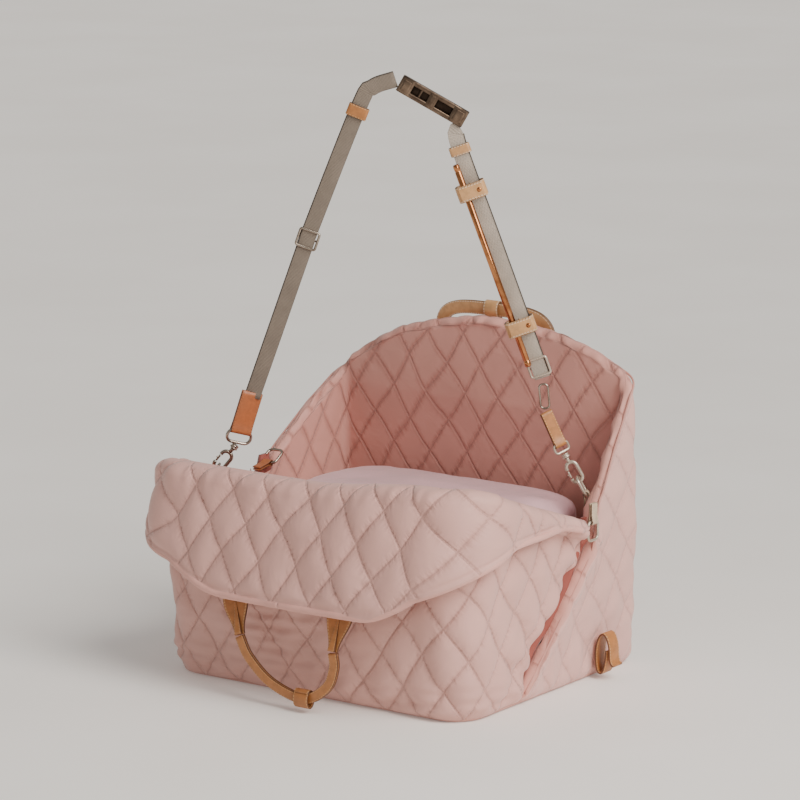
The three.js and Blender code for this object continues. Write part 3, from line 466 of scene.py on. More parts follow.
def add_piece(obj, body, slot, *nodes):
    if body:
        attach(obj, body)
    if nodes:
        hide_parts(*nodes)
    return obj


def bend_at_hood(obj):
    """Bakes the object's placement into its mesh points."""
    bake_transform(obj)


def bend_at_wing(obj):
    """Bakes the object's placement into its mesh points."""
    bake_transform(obj)


def steps(start, end, step):
    return np.linspace(start, end, max(int(abs(end - start) / step), 2) + 1)


def resample(points, step):
    """A smooth path through the points, in even steps."""
    p = np.asarray(points, float)
    pad = np.vstack([2 * p[0] - p[1], p, 2 * p[-1] - p[-2]])
    fine = []
    for k in range(1, len(pad) - 2):
        p0, p1, p2, p3 = pad[k - 1:k + 3]
        for t in np.linspace(0, 1, 16, endpoint=False):
            fine.append(0.5 * (2 * p1 + (p2 - p0) * t + (2 * p0 - 5 * p1 + 4 * p2 - p3) * t * t
                               + (3 * p1 - p0 - 3 * p2 + p3) * t ** 3))
    fine = np.vstack([fine, p[-1]])
    length = np.concatenate([[0], np.cumsum(np.linalg.norm(np.diff(fine, axis=0), axis=1))])
    at = np.linspace(0, length[-1], max(int(length[-1] / step), 2) + 1)
    return np.stack([np.interp(at, length, fine[:, k]) for k in range(3)], 1)


def rounded_section(width, height, radius, corner=3):
    """Points round a rectangle with round corners."""
    points = []
    for cx, cy, start in ((1, 1, 0), (-1, 1, 90), (-1, -1, 180), (1, -1, 270)):
        for k in range(corner + 1):
            angle = math.radians(start + 90 * k / corner)
            points.append((cx * (width / 2 - radius) + radius * math.cos(angle),
                           cy * (height / 2 - radius) + radius * math.sin(angle)))
    return np.array(points)


def sweep(name, path, across, widths, thickness, material, radius=None, closed=False, bow=0.0):
    """A strip or bar swept along a path in mm. across gives the width direction at each point."""
    path = np.asarray(path, float)
    count = len(path)
    across = np.broadcast_to(np.asarray(across, float), path.shape)
    widths = np.broadcast_to(np.asarray(widths, float), (count,))
    thick = np.broadcast_to(np.asarray(thickness, float), (count,))
    if closed:
        tangent = np.roll(path, -1, 0) - np.roll(path, 1, 0)
    else:
        tangent = np.gradient(path, axis=0)
    tangent /= np.linalg.norm(tangent, axis=1, keepdims=True) + 1e-12
    side = across - (across * tangent).sum(1, keepdims=True) * tangent
    side /= np.linalg.norm(side, axis=1, keepdims=True) + 1e-12
    front = np.cross(side, tangent)
    rings = []
    for k in range(count):
        r = radius if radius is not None else min(thick[k], widths[k]) * 0.45
        section = rounded_section(widths[k], thick[k], min(r, thick[k] * 0.49, widths[k] * 0.49))
        lift = bow * (1 - (2 * section[:, 0] / widths[k]) ** 2)
        rings.append(path[k] + section[:, :1] * side[k] + (section[:, 1:] + lift[:, None]) * front[k])
    points = np.array(rings)
    length = np.concatenate([[0], np.cumsum(np.linalg.norm(np.diff(path, axis=0), axis=1))]) * MM
    base = rounded_section(1.0, 0.2, 0.09)
    flat = np.abs(base[:, 1]) > 0.085
    share = base[:, 0] * 0.96 + 0.5
    share = np.where(flat, share, np.where(base[:, 0] > 0, 1.12, -0.12))
    layer = np.stack(np.broadcast_arrays(length[:, None], share[None, :]), -1)
    if closed:
        points = np.concatenate([points, points[:1]])
        layer = np.concatenate([layer, layer[-1:] + [[0.002, 0]]])
    obj = grid_object(name, points, material, {"strip": layer}, ring=True, caps=not closed)
    if closed:
        weld(obj)
        outward(obj)
    return obj


def weld(obj):
    bm = bmesh.new()
    bm.from_mesh(obj.data)
    bmesh.ops.remove_doubles(bm, verts=bm.verts, dist=1e-5)
    bm.to_mesh(obj.data)
    bm.free()


def join(name, objs):
    """One object from several, keeping each one's material slots."""
    bpy.ops.object.select_all(action="DESELECT")
    for obj in objs:
        obj.select_set(True)
    bpy.context.view_layer.objects.active = objs[0]
    bpy.ops.object.join()
    objs[0].name = objs[0].data.name = name
    return objs[0]


def place(obj, matrix):
    """Moves an object's points by a matrix whose translation is in mm."""
    m = matrix.copy()
    m.translation = m.translation * MM
    obj.data.transform(m)
    return obj


def centre_of(node):
    low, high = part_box(node)
    return (Vector(low) + Vector(high)) / 2 / MM


# --- quilted cloth
CELL_WIDE, CELL_TALL = 54.0, 76.0
LINE_WANDER = 0.06  # how far a stitch line strays, in cells
REST_PUFF = 0.35  # the share of the puff that lies at the wall's own face


def quilt(station, height, seed, wide=CELL_WIDE, tall=CELL_TALL, shift=(0.0, 0.0)):
    """Lattice coordinates and the height of the padding between its stitch lines, from 0 to 1."""
    u, v = station / wide + shift[0], height / tall + shift[1]
    a = u + v + LINE_WANDER * ripple(u * 0.5, v * 0.5, seed)
    b = u - v + LINE_WANDER * ripple(u * 0.5, v * 0.5, seed + 1)
    puff = (np.abs(np.sin(math.pi * a)) * np.abs(np.sin(math.pi * b))) ** 0.42
    puff = puff * (1 + 0.14 * ripple(u * 0.9, v * 0.9, seed + 2))
    return a, b, puff


def stack_layers(a, b, s, h):
    return {"quilt": np.stack([a, b], -1), "cloth": np.stack([s * MM, h * MM], -1)}


def shell(name, stations, foot, top, material, inner_material, crown=8.0, puff_out=5.5, puff_in=5.0,
          seed=3, inner_tall=92.0, extra=None, inside=None, calm=None, roll=False):
    """A padded wall that follows the outline: up the outside, over its rim and down the inside."""
    s_line = np.asarray(stations, float)
    s_true = around(s_line)
    low, high = foot(s_true), top(s_true)
    tallest = float(np.max(high - low))
    rows_out, rows_top = max(int(tallest / STEP), 12), 9
    share = np.linspace(0, 1, rows_out)
    cap = crown
    half = WALL / 2
    S = s_line[:, None]
    T = s_true[:, None]
    reach = high[:, None] - cap - low[:, None]
    h_out = low[:, None] + reach * share[None, :]
    h_in = h_out[:, ::-1]
    angle = np.linspace(0, math.pi, rows_top + 2)[1:-1][None, :]
    if roll:
        radius = ROLL + 0.6
        angle = np.linspace(math.radians(-40), math.radians(220), 26)[None, :]
        h_top = high[:, None] - ROLL + radius * np.sin(angle)
        o_top = -half + radius * np.cos(angle)
        reach = np.maximum(high[:, None] - ROLL * 1.75 - low[:, None], 3)
        h_out = low[:, None] + reach * share[None, :]
        h_in = h_out[:, ::-1]
    else:
        h_top = high[:, None] - cap + cap * np.sin(angle)
        o_top = -half + half * np.cos(angle) + 0 * T
    H = np.concatenate([h_out, h_top, h_in], 1)
    offset = np.concatenate([0 * h_out, o_top + 0 * T, -WALL + 0 * h_in], 1)
    S = S + 0 * H
    T = T + 0 * H
    n_out, n_top = h_out.shape[1], h_top.shape[1]
    a, b, puff = quilt(S, H, seed)
    a2, b2, puff2 = quilt(S, H + 11, seed + 5, CELL_WIDE * 1.1, inner_tall)
    if calm is not None:
        puff = REST_PUFF + (puff - REST_PUFF) * (1 - calm(T, H))
    side = np.zeros(H.shape[1])
    side[:n_out] = 1
    side[n_out:n_out + n_top] = np.cos(np.linspace(0, math.pi, n_top))
    outer_share = np.clip(side, 0, 1)[None, :]
    inner_share = np.clip(-side, 0, 1)[None, :]
    top_share = 1 - np.abs(side)[None, :]
    # the padding flattens where it is held: at the foot and along the rim's edge seam
    rise = np.minimum((H - low[:, None]) / 16, 1).clip(0, 1)
    puff2 = puff2 ** 1.5
    calm_rim = 1 - 0.8 * np.exp(-((high[:, None] - H) / 24) ** 2)
    swell_out = puff_out * (puff - REST_PUFF) * outer_share * rise
    swell_in = puff_in * (puff2 - REST_PUFF) * inner_share * rise * calm_rim
    delta = swell_out - swell_in
    ends = np.minimum(np.arange(len(s_line)), np.arange(len(s_line))[::-1])[:, None] * STEP
    fade = np.sqrt(np.clip(1 - (1 - np.minimum(ends / 10, 1)) ** 2, 0.02, 1))
    gather = 1.2 * np.sin(S / 25 * 2 * math.pi + ripple(S / 120, H / 120, seed + 9) * 1.5)
    near_rim = np.exp(-((high[:, None] - H) / 22) ** 2)
    delta = delta + gather * near_rim * (outer_share - inner_share + 0 * top_share) * (0 if roll else 1)
    delta = delta + 1.0 * ripple(S / 70, H / 45, seed + 12) * (outer_share - inner_share)
    if extra is not None:
        delta = delta + extra(T, H) * outer_share
    if inside is not None:
        delta = delta - inside(T, H) * inner_share
    middle = -half
    offset = middle + (offset + delta - middle) * fade
    foot_turn = np.clip(1 - (H - 2) / 13, 0, 1) ** 2 * 7 * (H < 15)
    offset = offset - foot_turn * outer_share
    H = H + 1.6 * top_share * np.abs(np.sin(S / 25 * math.pi)) ** 0.6 * (0 if roll else 1)
    points = wall_point(T, H, offset)
    inner_faces = side < -0.2
    A, B = np.where(inner_faces[None, :], a2, a), np.where(inner_faces[None, :], b2, b)
    obj = grid_object(name, points, material, stack_layers(A, B, S, H), ring=True)
    obj.data.materials.append(MATERIALS[inner_material])
    columns = points.shape[1]
    kinds = [0] * len(obj.data.polygons)
    for k in range(min(len(kinds), (len(s_line) - 1) * columns)):
        if k % columns >= n_out + (0 if not roll else n_top):
            kinds[k] = 1
    obj.data.polygons.foreach_set("material_index", kinds)
    obj.data.update()
    return obj


def seam_distance(T, H):
    """Distance from the diagonal side seam, in mm, along the wall."""
    right = SEAM_HEAD[1]
    left = SEAM_HEAD[-1]
    slope_r = (right[1] - BASE_TOP) / (right[0] - SEAM_FOOT)
    slope_l = (left[1] - BASE_TOP) / (left[0] - SEAM_FOOT)
    slope = np.where(T < 0, slope_l, slope_r)
    level = BASE_TOP + slope * (np.abs(T) - SEAM_FOOT)
    return (H - level) / np.sqrt(1 + slope ** 2)


def front_extra(T, H):
    """How the front departs from a plain wall: tucked in along the side seam, creased low down."""
    a = np.abs(T)
    d = seam_distance(T, H)
    tuck = -9.0 * np.exp(-(np.maximum(d - 12, 0) / 13) ** 2) * smooth(SEAM_FOOT - 12, SEAM_FOOT + 25, a)
    pucker = 4.2 * np.sin(H / 7.5 + 2.2 * np.sin(a / 17)) * np.exp(-((d - 14) / 30) ** 2)
    pucker = pucker * smooth(SEAM_FOOT - 70, SEAM_FOOT + 10, a)
    creases = 1.6 * ripple(T / 90, H / 15, 41) * bump_at(H, 20, 26)
    slump = 1.8 * ripple(T / 70, H / 13, 43) * bump_at(T, -40, 95) * bump_at(H, 75, 40)
    return tuck + pucker + creases + slump


def wing_extra(T, H):
    """The back wall stands out in a lip beside the side seam, with soft folds low down."""
    d = -seam_distance(T, H)
    a = np.abs(T)
    lip = 5.0 * np.exp(-((d - 7) / 7) ** 2) * (a < 480)
    folds = 1.4 * ripple(T / 26, H / 90, 51) * bump_at(H, 20, 45)
    return lip + folds


def lining_inside(T, H):
    """The lining swells in round the seat."""
    return 9.0 * bump_at(H, 165, 45) + 2.0 * ripple(T / 80, H / 60, 61)


def front_calm(T, H):
    """The padding lies nearly flat where the front has slumped, behind the handle."""
    return 0.62 * bump_at(T, -75, 150) * (1 - smooth(100, 150, H))


def front_inside(T, H):
    """The front's lining swells in a little too."""
    return 6.0 * bump_at(H, 170, 40)


def front_foot(s):
    a = np.abs(s)
    share = np.clip((a - SEAM_FOOT) / (SEAM_HEAD[1][0] - SEAM_FOOT), 0, 1)
    open_by = 2.5 + 15.0 * np.sin(math.pi * share) ** 0.8
    return np.where(a > SEAM_FOOT, np.maximum(3.0, seam_height(s) + open_by), 3.0)


def front_top(s):
    return np.maximum(ridge_top(s), front_foot(s) + 30)


front = shell("front_quilt", steps(-372, 446, STEP), front_foot, front_top, "quilt", "inner", roll=True,
              seed=3, extra=front_extra, inside=front_inside, calm=front_calm, puff_out=6.5)
add_piece(front, "bag", "quilted_fabric", "front_wall", "front_side_left", "front_side_right", "front_roll")


def back_foot(s):
    return np.full(np.shape(s), 3.0)


def back_top(s):
    a = np.abs(s)
    head = np.where(s < 0, SEAM_HEAD[-1][0], SEAM_HEAD[1][0])
    return np.maximum(np.where(a < head, seam_height(s), rim_height(s)), 15.0)


WING_FROM = SEAM_FOOT + 2
back = shell("back_quilt", steps(WING_FROM, 2 * BACK_CENTRE - WING_FROM, STEP), back_foot, back_top,
             "side", "inner", seed=23, extra=wing_extra, inside=lining_inside, puff_out=3.6, puff_in=11.5,
             crown=11.0)
bend_at_hood(back)
add_piece(back, None, "lining_fabric", "wing_right", "wing_left", "back_wall", "hood")


# --- piping along the rim
def rim_piping():
    """A thin cord along the rim of the back wall and the hood."""
    line = steps(WING_FROM + 4, 2 * BACK_CENTRE - WING_FROM - 4, 4)
    true = around(line)
    height = back_top(true)
    d = wall_point(true, height - 4.0, 0.6 + 0 * height)
    path = resample(d[::2], 4)
    obj = sweep("rim_piping", path, (0, 0, 1), 2.6, 2.6, "piping", radius=1.25)
    bend_at_hood(obj)
    return add_piece(obj, None, "quilted_fabric")


rim_piping()


# --- gussets: the fold behind each seam, dark with painted shade
def gusset(label, side, start, end):
    """A strip of lining, folded in and out, that shows in the gap of a side seam; its dark colour is painted
    shade.
    """
    line = steps(start, end, 4)
    low = np.maximum(seam_height(side * line) - 34, 6)
    high = seam_height(side * line) + 30
    share = np.linspace(0, 1, 24)
    H = low[:, None] + (high - low)[:, None] * share[None, :]
    S = side * line[:, None] + 0 * H
    folds = 3.4 * np.sin(share * 13 + 1.4 * np.sin(line / 15)[:, None])
    wave = -10 + folds - 6 * np.abs(share - 0.5)[None, :]
    outer = wall_point(S, H, wave)
    inner = wall_point(S, H, wave - 5)[:, ::-1]
    points = np.concatenate([outer, inner], 1)
    obj = grid_object(f"gusset_fold_{label}", points, "fold", None, ring=True)
    return add_piece(obj, "bag", "lining_fabric", f"gusset_{label}")


gusset("right", 1, 322, 476)
gusset("left", -1, 322, 400)


# --- the flap
def flap_points(stations, seed=71):
    """The flap as a closed section at each station: outside, over the roll, underside and hem."""
    s = np.asarray(stations, float)[:, None]
    hem = hem_height(s) - 9 * bump_at(s, -222, 48)
    top = np.maximum(ridge_top(s), hem + 12)
    reach = flap_reach(s)
    thick = 12.0
    tip_right, tip_left = 426 - s, s + 264
    ends = np.sqrt(np.clip(1 - (1 - np.clip(np.minimum(tip_right / 16, tip_left / 26), 0, 1)) ** 2, 0.004, 1))
    rows = max(int(150 / STEP), 24)
    share = np.linspace(0, 1, rows)[None, :]
    radius = thick / 2
    shoulder = top - 15
    h_out = (hem + radius) + np.maximum(shoulder - hem - radius, 1) * share
    o_out = mix(reach, 22, share)
    angle = np.linspace(0, math.radians(152), 16)[None, 1:]
    o_top, h_top = 3 + 19 * np.cos(angle) + 0 * s, shoulder + 17 * np.sin(angle)
    angle_in = angle[:, ::-1]
    o_under, h_under = 3 + 10.5 * np.cos(angle_in) + 0 * s, shoulder + 10.5 * np.sin(angle_in)
    h_in, o_in = h_out[:, ::-1], (o_out - thick)[:, ::-1]
    arc = np.linspace(math.pi, 2 * math.pi, 8)[None, 1:-1]
    o_hem, h_hem = reach - radius + radius * np.cos(arc), hem + radius + radius * np.sin(arc)
    H = np.concatenate([h_out, h_top, h_under, h_in, h_hem + 0 * s], 1)
    O = np.concatenate([o_out, o_top, o_under, o_in, o_hem], 1)
    outer = np.concatenate([np.ones(h_out.shape[1]), np.ones(h_top.shape[1]),
                            np.zeros(h_under.shape[1] + h_in.shape[1] + h_hem.shape[1])])[None, :]
    S = s + 0 * H
    run = np.concatenate([h_out, shoulder + 24 * angle / 1.57, shoulder + 0 * angle, h_in, h_hem], 1)
    a, b, puff = quilt(S + 6, run, seed, CELL_WIDE, CELL_TALL, (0.1, 0.25))
    hem_hold = smooth(6, 24, H - hem)
    strays = 1.3 * ripple(S / 60, 0 * S, seed + 4)
    gather = 1.5 * np.cos(S / 13.5 * math.pi + strays) * bump_at(run, shoulder + 16, 16)
    wobble = 1.6 * ripple(S / 120, H / 90, seed + 6)
    bulge = 1.0 * bump_at(S, -205, 55) * bump_at(H, 190, 60)
    delta = (6.6 * (puff - 0.45) * hem_hold + gather + bulge) * outer + wobble
    crease = -1.8 * bump_at(H - hem, 10, 2.5) * outer
    O = O + delta + crease
    middle = (reach - radius + 22 - radius) / 2
    O = middle + (O - middle) * (0.35 + 0.65 * ends)
    mid_h = (hem + top) / 2
    H = mid_h + (H - mid_h) * mix(0.86, 1.0, ends)
    points = wall_point(S, H, O)
    return points, stack_layers(a, b, S, run)


def make_flap():
    """The flap in two halves, split at the middle."""
    line = np.concatenate([-steps(0, 263.5, STEP)[:0:-1], steps(0, 425.5, STEP)])
    points, layers = flap_points(line)
    zero = int(np.argmin(np.abs(line)))
    for label, cut, turn in (("left", slice(0, zero + 1), -1), ("right", slice(zero, None), 1)):
        part = points[cut]
        count_i, count_j = part.shape[:2]
        obj = grid_object(f"flap_quilt_{label}", part, "quilt", {k: v[cut] for k, v in layers.items()},
                          ring=True, caps=False)
        tip = 0 if turn < 0 else count_i - 1
        bm = bmesh.new()
        bm.from_mesh(obj.data)
        bm.verts.ensure_lookup_table()
        loop = [bm.verts[tip * count_j + j] for j in range(count_j)]
        bm.faces.new(loop)
        bm.to_mesh(obj.data)
        bm.free()
        outward(obj)
        obj.data.polygons.foreach_set("use_smooth", [True] * len(obj.data.polygons))
        bend_at_wing(obj)
        middle = ("flap_center",) if turn > 0 else ()
        add_piece(obj, None, "quilted_fabric", *middle, f"flap_wing_{label}")


make_flap()


def hem_binding(label, turn, start, end):
    """The bias strip that binds the flap's hem."""
    line = turn * steps(start, end, 3)
    drop = 9 * bump_at(line, -222, 48)
    height = hem_height(line) - drop + 4.6
    reach = flap_reach(line)
    path = wall_point(line, height - 0.6, reach - 6 + 0.5 * ripple(line / 30, 0 * line, 77))
    _, _, ox, oy = outline(line)
    across = np.column_stack([ox, oy, 0 * ox])
    obj = sweep(f"hem_binding_{label}", path, across, 13.4, 8.6, "piping_pale", radius=4.1)
    bend_at_wing(obj)
    add_piece(obj, None, "quilted_fabric")


hem_binding("right", 1, 0, 408)
hem_binding("left", -1, 0, 250)


# --- base and riser
def plan_disc(name, edge, low, high, material, lip=5.0):
    """A flat pad whose plan is the closed line edge(inset); its rim is rounded."""
    rings = []
    for inset, height in ((lip, low), (lip * 0.3, low + lip * 0.3), (0, low + lip), (0, high - lip),
                          (lip * 0.3, high - lip * 0.3), (lip, high)):
        rings.append(np.column_stack([edge(inset), np.full(len(edge(inset)), height)]))
    centre = edge(0).mean(0)
    spread = edge(lip) - centre

    def face_ring(share, height):
        return np.column_stack([centre + spread * share, np.full(len(spread), height)])

    shares = (0.75, 0.5, 0.25, 0.04)
    bottom = [face_ring(k, low) for k in shares[::-1]]
    points = np.array(bottom + rings + [face_ring(k, high) for k in shares])
    return grid_object(name, points, material, None, ring=True)


def bag_edge(inset):
    """The outline of the base, moved in by inset."""
    line = np.concatenate([steps(0, BACK_CENTRE, 12), -steps(0, BACK_CENTRE, 12)[-2:0:-1]])
    return wall_point(line, 0 * line, -6 - inset + 0 * line)[:, :2]


base = plan_disc("base_cloth", bag_edge, 0.6, 11.4, "base", 3.0)
add_piece(base, "bag", "base_fabric", "base_panel")


def seat_edge(inset):
    """A rounded rectangle inside the box of the foam riser, moved in by inset."""
    low, high = (np.array(p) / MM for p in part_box("foam_riser"))
    cx, cy = (low[:2] + high[:2]) / 2
    half_x, half_y = (high[:2] - low[:2]) / 2 - inset
    radius = 56 - inset
    angle = np.radians(np.arange(0, 360, 4))
    px = np.sign(np.cos(angle)) * (half_x - radius) + radius * np.cos(angle)
    py = np.sign(np.sin(angle)) * (half_y - radius) + radius * np.sin(angle)
    return np.column_stack([cx + px, cy + py])


RISER = [p.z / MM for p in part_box("foam_riser")]
riser = plan_disc("riser_cover", seat_edge, RISER[0] + 0.5, RISER[1] - 0.5, "fold", 5.0)
add_piece(riser, "bag", "foam", "foam_riser")


# --- cushion, in metres
PAD_CROWN, PAD_SINK = 0.016, 0.004  # how far the middle rises and the edge falls
SEAM_DEPTH, SEAM_REACH = 0.0025, 0.0035  # how far the edge seam draws in, and over what height
MOST_SWELL = 0.008  # the furthest that the cloth simulation may move a point


def make_cushion():
    """The seat pad: blown up by a cloth simulation, then crowned and drawn in at its edge seam."""
    source = NODES["seat_cushion"]
    mesh = source.data.copy()
    obj = bpy.data.objects.new("seat_pad", mesh)
    SCENE.collection.objects.link(obj)
    obj.matrix_world = source.matrix_world.copy()
    bpy.context.view_layer.update()
    mesh.transform(obj.matrix_world)
    obj.matrix_world = Matrix.Identity(4)
    remesh = obj.modifiers.new("remesh", "REMESH")
    remesh.mode, remesh.voxel_size = "VOXEL", 0.006
    apply_modifiers(obj)
    rest = np.array([v.co for v in obj.data.vertices])
    low, high = rest.min(0), rest.max(0)
    simulate(obj, rest)
    co = np.array([v.co for v in obj.data.vertices])
    # crowned on top, drawn in at the edge seam, flat underneath
    mid = (low + high) / 2
    half = (high - low) / 2
    rx, ry = (co[:, 0] - mid[0]) / half[0], (co[:, 1] - mid[1]) / half[1]
    crown = np.clip(1 - rx ** 2, 0, 1) * np.clip(1 - ry ** 2, 0, 1)
    upper = smooth(mid[2], high[2], co[:, 2])
    co[:, 2] += upper * (PAD_CROWN * crown ** 0.6 - PAD_SINK)
    seam = np.exp(-((co[:, 2] - (low[2] + 0.62 * (high[2] - low[2]))) / SEAM_REACH) ** 2)
    edge = np.maximum(np.abs(rx), np.abs(ry)) > 0.9
    co[:, 0] -= np.sign(rx) * seam * edge * SEAM_DEPTH * (np.abs(rx) > 0.9)
    co[:, 1] -= np.sign(ry) * seam * edge * SEAM_DEPTH * (np.abs(ry) > 0.9)
    folds = ripple(co[:, 0] * 9, co[:, 1] * 14, 91) * 0.0012
    co[:, 2] += folds * upper
    co[:, 2] = np.maximum(co[:, 2], low[2] + 0.0004)
    for vertex, point in zip(obj.data.vertices, co):
        vertex.co = point
    soften = obj.modifiers.new("soften", "SMOOTH")
    soften.factor, soften.iterations = 0.5, 3
    obj.modifiers.new("subdivide", "SUBSURF").levels = 1
    apply_modifiers(obj)
    obj.data.materials.clear()
    obj.data.materials.append(MATERIALS["cushion"])
    obj.data.polygons.foreach_set("use_smooth", [True] * len(obj.data.polygons))
    add_piece(obj, "seat", "cushion_satin", "seat_cushion")


def apply_modifiers(obj):
    """Bakes the object's modifiers into its mesh."""
    graph = bpy.context.evaluated_depsgraph_get()
    made = bpy.data.meshes.new_from_object(obj.evaluated_get(graph))
    obj.modifiers.clear()
    old, obj.data = obj.data, made
    bpy.data.meshes.remove(old)


def simulate(obj, rest):
    """Blows the pad up a little with an inner pressure."""
    cloth = obj.modifiers.new("cloth", "CLOTH")
    cloth.settings.use_pressure = True
    cloth.settings.uniform_pressure_force = 4
    cloth.settings.quality = 5
    cloth.settings.effector_weights.gravity = 0
    cloth.settings.tension_stiffness = 20
    cloth.settings.bending_stiffness = 0.5
    for number in range(1, 21):
        SCENE.frame_set(number)
    graph = bpy.context.evaluated_depsgraph_get()
    shape = obj.evaluated_get(graph).to_mesh()
    blown = np.array([v.co for v in shape.vertices])
    obj.evaluated_get(graph).to_mesh_clear()
    obj.modifiers.remove(cloth)
    SCENE.frame_set(1)
    move = blown - rest
    size = np.linalg.norm(move, axis=1, keepdims=True)
    move *= np.minimum(1, MOST_SWELL / np.maximum(size, 1e-9))
    for vertex, point in zip(obj.data.vertices, rest + move):
        vertex.co = point


make_cushion()


# --- handles
FLARE_BOW = -2.6  # how far a flared end curves across its width, in mm


def handle_frame(neck, lean):
    return Matrix.Translation(Vector(neck)) @ Matrix.Rotation(lean, 4, "X")


def local_curve(spacing, drop, curve):
    """The line of a grip; curve is in shares of half the spacing across and of the drop down."""
    points = [(-1, -0.06), *curve, (1, -0.06)]
    return np.array([(x * spacing / 2, y * drop, 0) for x, y in points])


def make_handle(prefix, body_ends, body_grip, spacing, drop, curve, middle, splay, neck, end_lean, grip_lean,
                band, flare, material):
    """Two flared leather ends and a grip of two layers, with a strip wound once round it."""
    ends_frame, grip_frame = handle_frame(neck, end_lean), handle_frame(neck, grip_lean)
    for label, side in (("left", -1), ("right", 1)):
        y = np.linspace(-2, 62, 26)
        width = 14 + (flare - 14) * smooth(0, 40, y) - 5 * smooth(50, 62, y)
        path = np.column_stack([0 * y, y, 1.2 * np.sin(y / 62 * math.pi)])
        name = f"{prefix}_leather_end_{label}"
        obj = sweep(name, path, (1, 0, 0), width, 3.2, material, 1.2, bow=FLARE_BOW)
        local = Matrix.Translation((side * spacing / 2, 0, 0)) @ Matrix.Rotation(-side * splay[label], 4, "Z")
        place(obj, ends_frame @ local)
        # a folded pleat that pinches the flared end into the grip
        pleat = sweep(f"{prefix}_pleat_{label}", np.column_stack([0 * y[:17], y[:17], 3.0 - y[:17] * 0.03]),
                      (1, 0, 0), np.linspace(9.5, 3.0, 17), np.linspace(4.2, 1.6, 17), material, radius=0.8)
        place(pleat, ends_frame @ local)
        obj = join(obj.name, [obj, pleat])
        add_piece(obj, body_ends, "tan_leather", f"{prefix}_end_{label}")
    path = resample(local_curve(spacing, drop, curve), 3)
    heading = np.gradient(path, axis=0)
    in_face = np.column_stack([-heading[:, 1], heading[:, 0], 0 * heading[:, 0]])
    layers = [sweep("layer", path + [0, 0, lift], in_face, band - 0.6 * (lift > 0), 2.6, material, radius=0.9)
              for lift in (-1.5, 1.4)]
    grip = join(f"{prefix}_leather_grip", layers)
    place(grip, grip_frame)
    add_piece(grip, body_grip, "tan_leather", f"{prefix}_grip")
    # wrap: a strip wound once round the middle of the grip, its end lapped
    angle = np.linspace(0, 2 * math.pi * 1.12, 52)
    radius = 8.2 + 1.6 * angle / (2 * math.pi)
    around_x = np.column_stack([0 * angle, (radius + 1.0) * np.cos(angle), radius * 0.74 * np.sin(angle)])
    wrap = sweep(f"{prefix}_leather_wrap", around_x, (1, 0, 0), 21, 2.0, material, radius=0.8)
    at = path[int(np.argmin(np.abs(path[:, 0] - middle * spacing / 2) + np.abs(path[:, 1] + drop) * 0.2))]
    place(wrap, grip_frame @ Matrix.Translation(Vector(at)))
    add_piece(wrap, body_grip, "tan_leather", f"{prefix}_wrap")


FRONT_NECK = (5, -HALF_DEPTH - 54, 82)
FRONT_CURVE = [(-0.8, -0.42), (-0.32, -0.82), (0.37, -1), (0.86, -0.72), (1.02, -0.34)]
make_handle("front_handle", "flap", "front_handle", spacing=136, drop=65, curve=FRONT_CURVE, middle=0.37,
            splay={"left": 0.34, "right": 0.06}, neck=FRONT_NECK, end_lean=math.pi / 2 - 0.3,
            grip_lean=math.pi / 2, band=12.5, flare=36, material="leather")
BACK_NECK = (3, HALF_DEPTH + 17, 346)
BACK_HALF = [(-1.1, -0.45), (-1.02, -0.8), (-0.7, -0.97)]
BACK_CURVE = [*BACK_HALF, (0, -1), *((-x, y) for x, y in BACK_HALF[::-1])]
make_handle("back_handle", "hood", "back_handle", spacing=146, drop=66, curve=BACK_CURVE, middle=0,
            splay={"left": 0.1, "right": 0.1}, neck=BACK_NECK, end_lean=-math.pi / 2 + 0.02,
            grip_lean=-math.pi / 2 + 0.1, band=17.0, flare=34, material="leather_pale")


# --- the strap's plane
STRAP_LEFT, STRAP_RIGHT = (-186, -130), (203, 98)
STRAP_SPAN = math.hypot(STRAP_RIGHT[0] - STRAP_LEFT[0], STRAP_RIGHT[1] - STRAP_LEFT[1])
STRAP_TURN = math.atan2(STRAP_RIGHT[1] - STRAP_LEFT[1], STRAP_RIGHT[0] - STRAP_LEFT[0])


def upright(position, turn):
    """A frame whose XY plane stands upright, turned about Z."""
    stand = Matrix.Rotation(turn, 4, "Z") @ Matrix.Rotation(math.pi / 2, 4, "X")
    return Matrix.Translation(Vector(position)) @ stand


PLANE = upright((*STRAP_LEFT, 0), STRAP_TURN)
ALONG = np.array([math.cos(STRAP_TURN), math.sin(STRAP_TURN), 0])
VIEWER = np.array([math.sin(STRAP_TURN), -math.cos(STRAP_TURN), 0])


def in_plane(x, y, out=0.0):
    return np.array([*STRAP_LEFT, 0]) + ALONG * x + np.array([0, 0, 1]) * y + VIEWER * out


def loop_path(width, height, radius):
    """Centre line of a rounded rectangle in XY."""
    flat = rounded_section(width, height, radius, 6)
    return np.column_stack([flat, 0 * flat[:, 0]])


def wire_loop(name, width, height, wire, radius, material):
    """A closed ring of round wire; width and height are outer sizes."""
    path = loop_path(width - wire, height - wire, max(radius - wire / 2, 1.0))
    return sweep(name, path, (0, 0, 1), wire, wire, material, radius=wire * 0.49, closed=True)


def bar(name, start, end, width, thickness, material, radius=None, across=(0, 0, 1)):
    path = np.linspace(np.array(start, float), np.array(end, float), 6)
    return sweep(name, path, across, width, thickness, material, radius=radius)


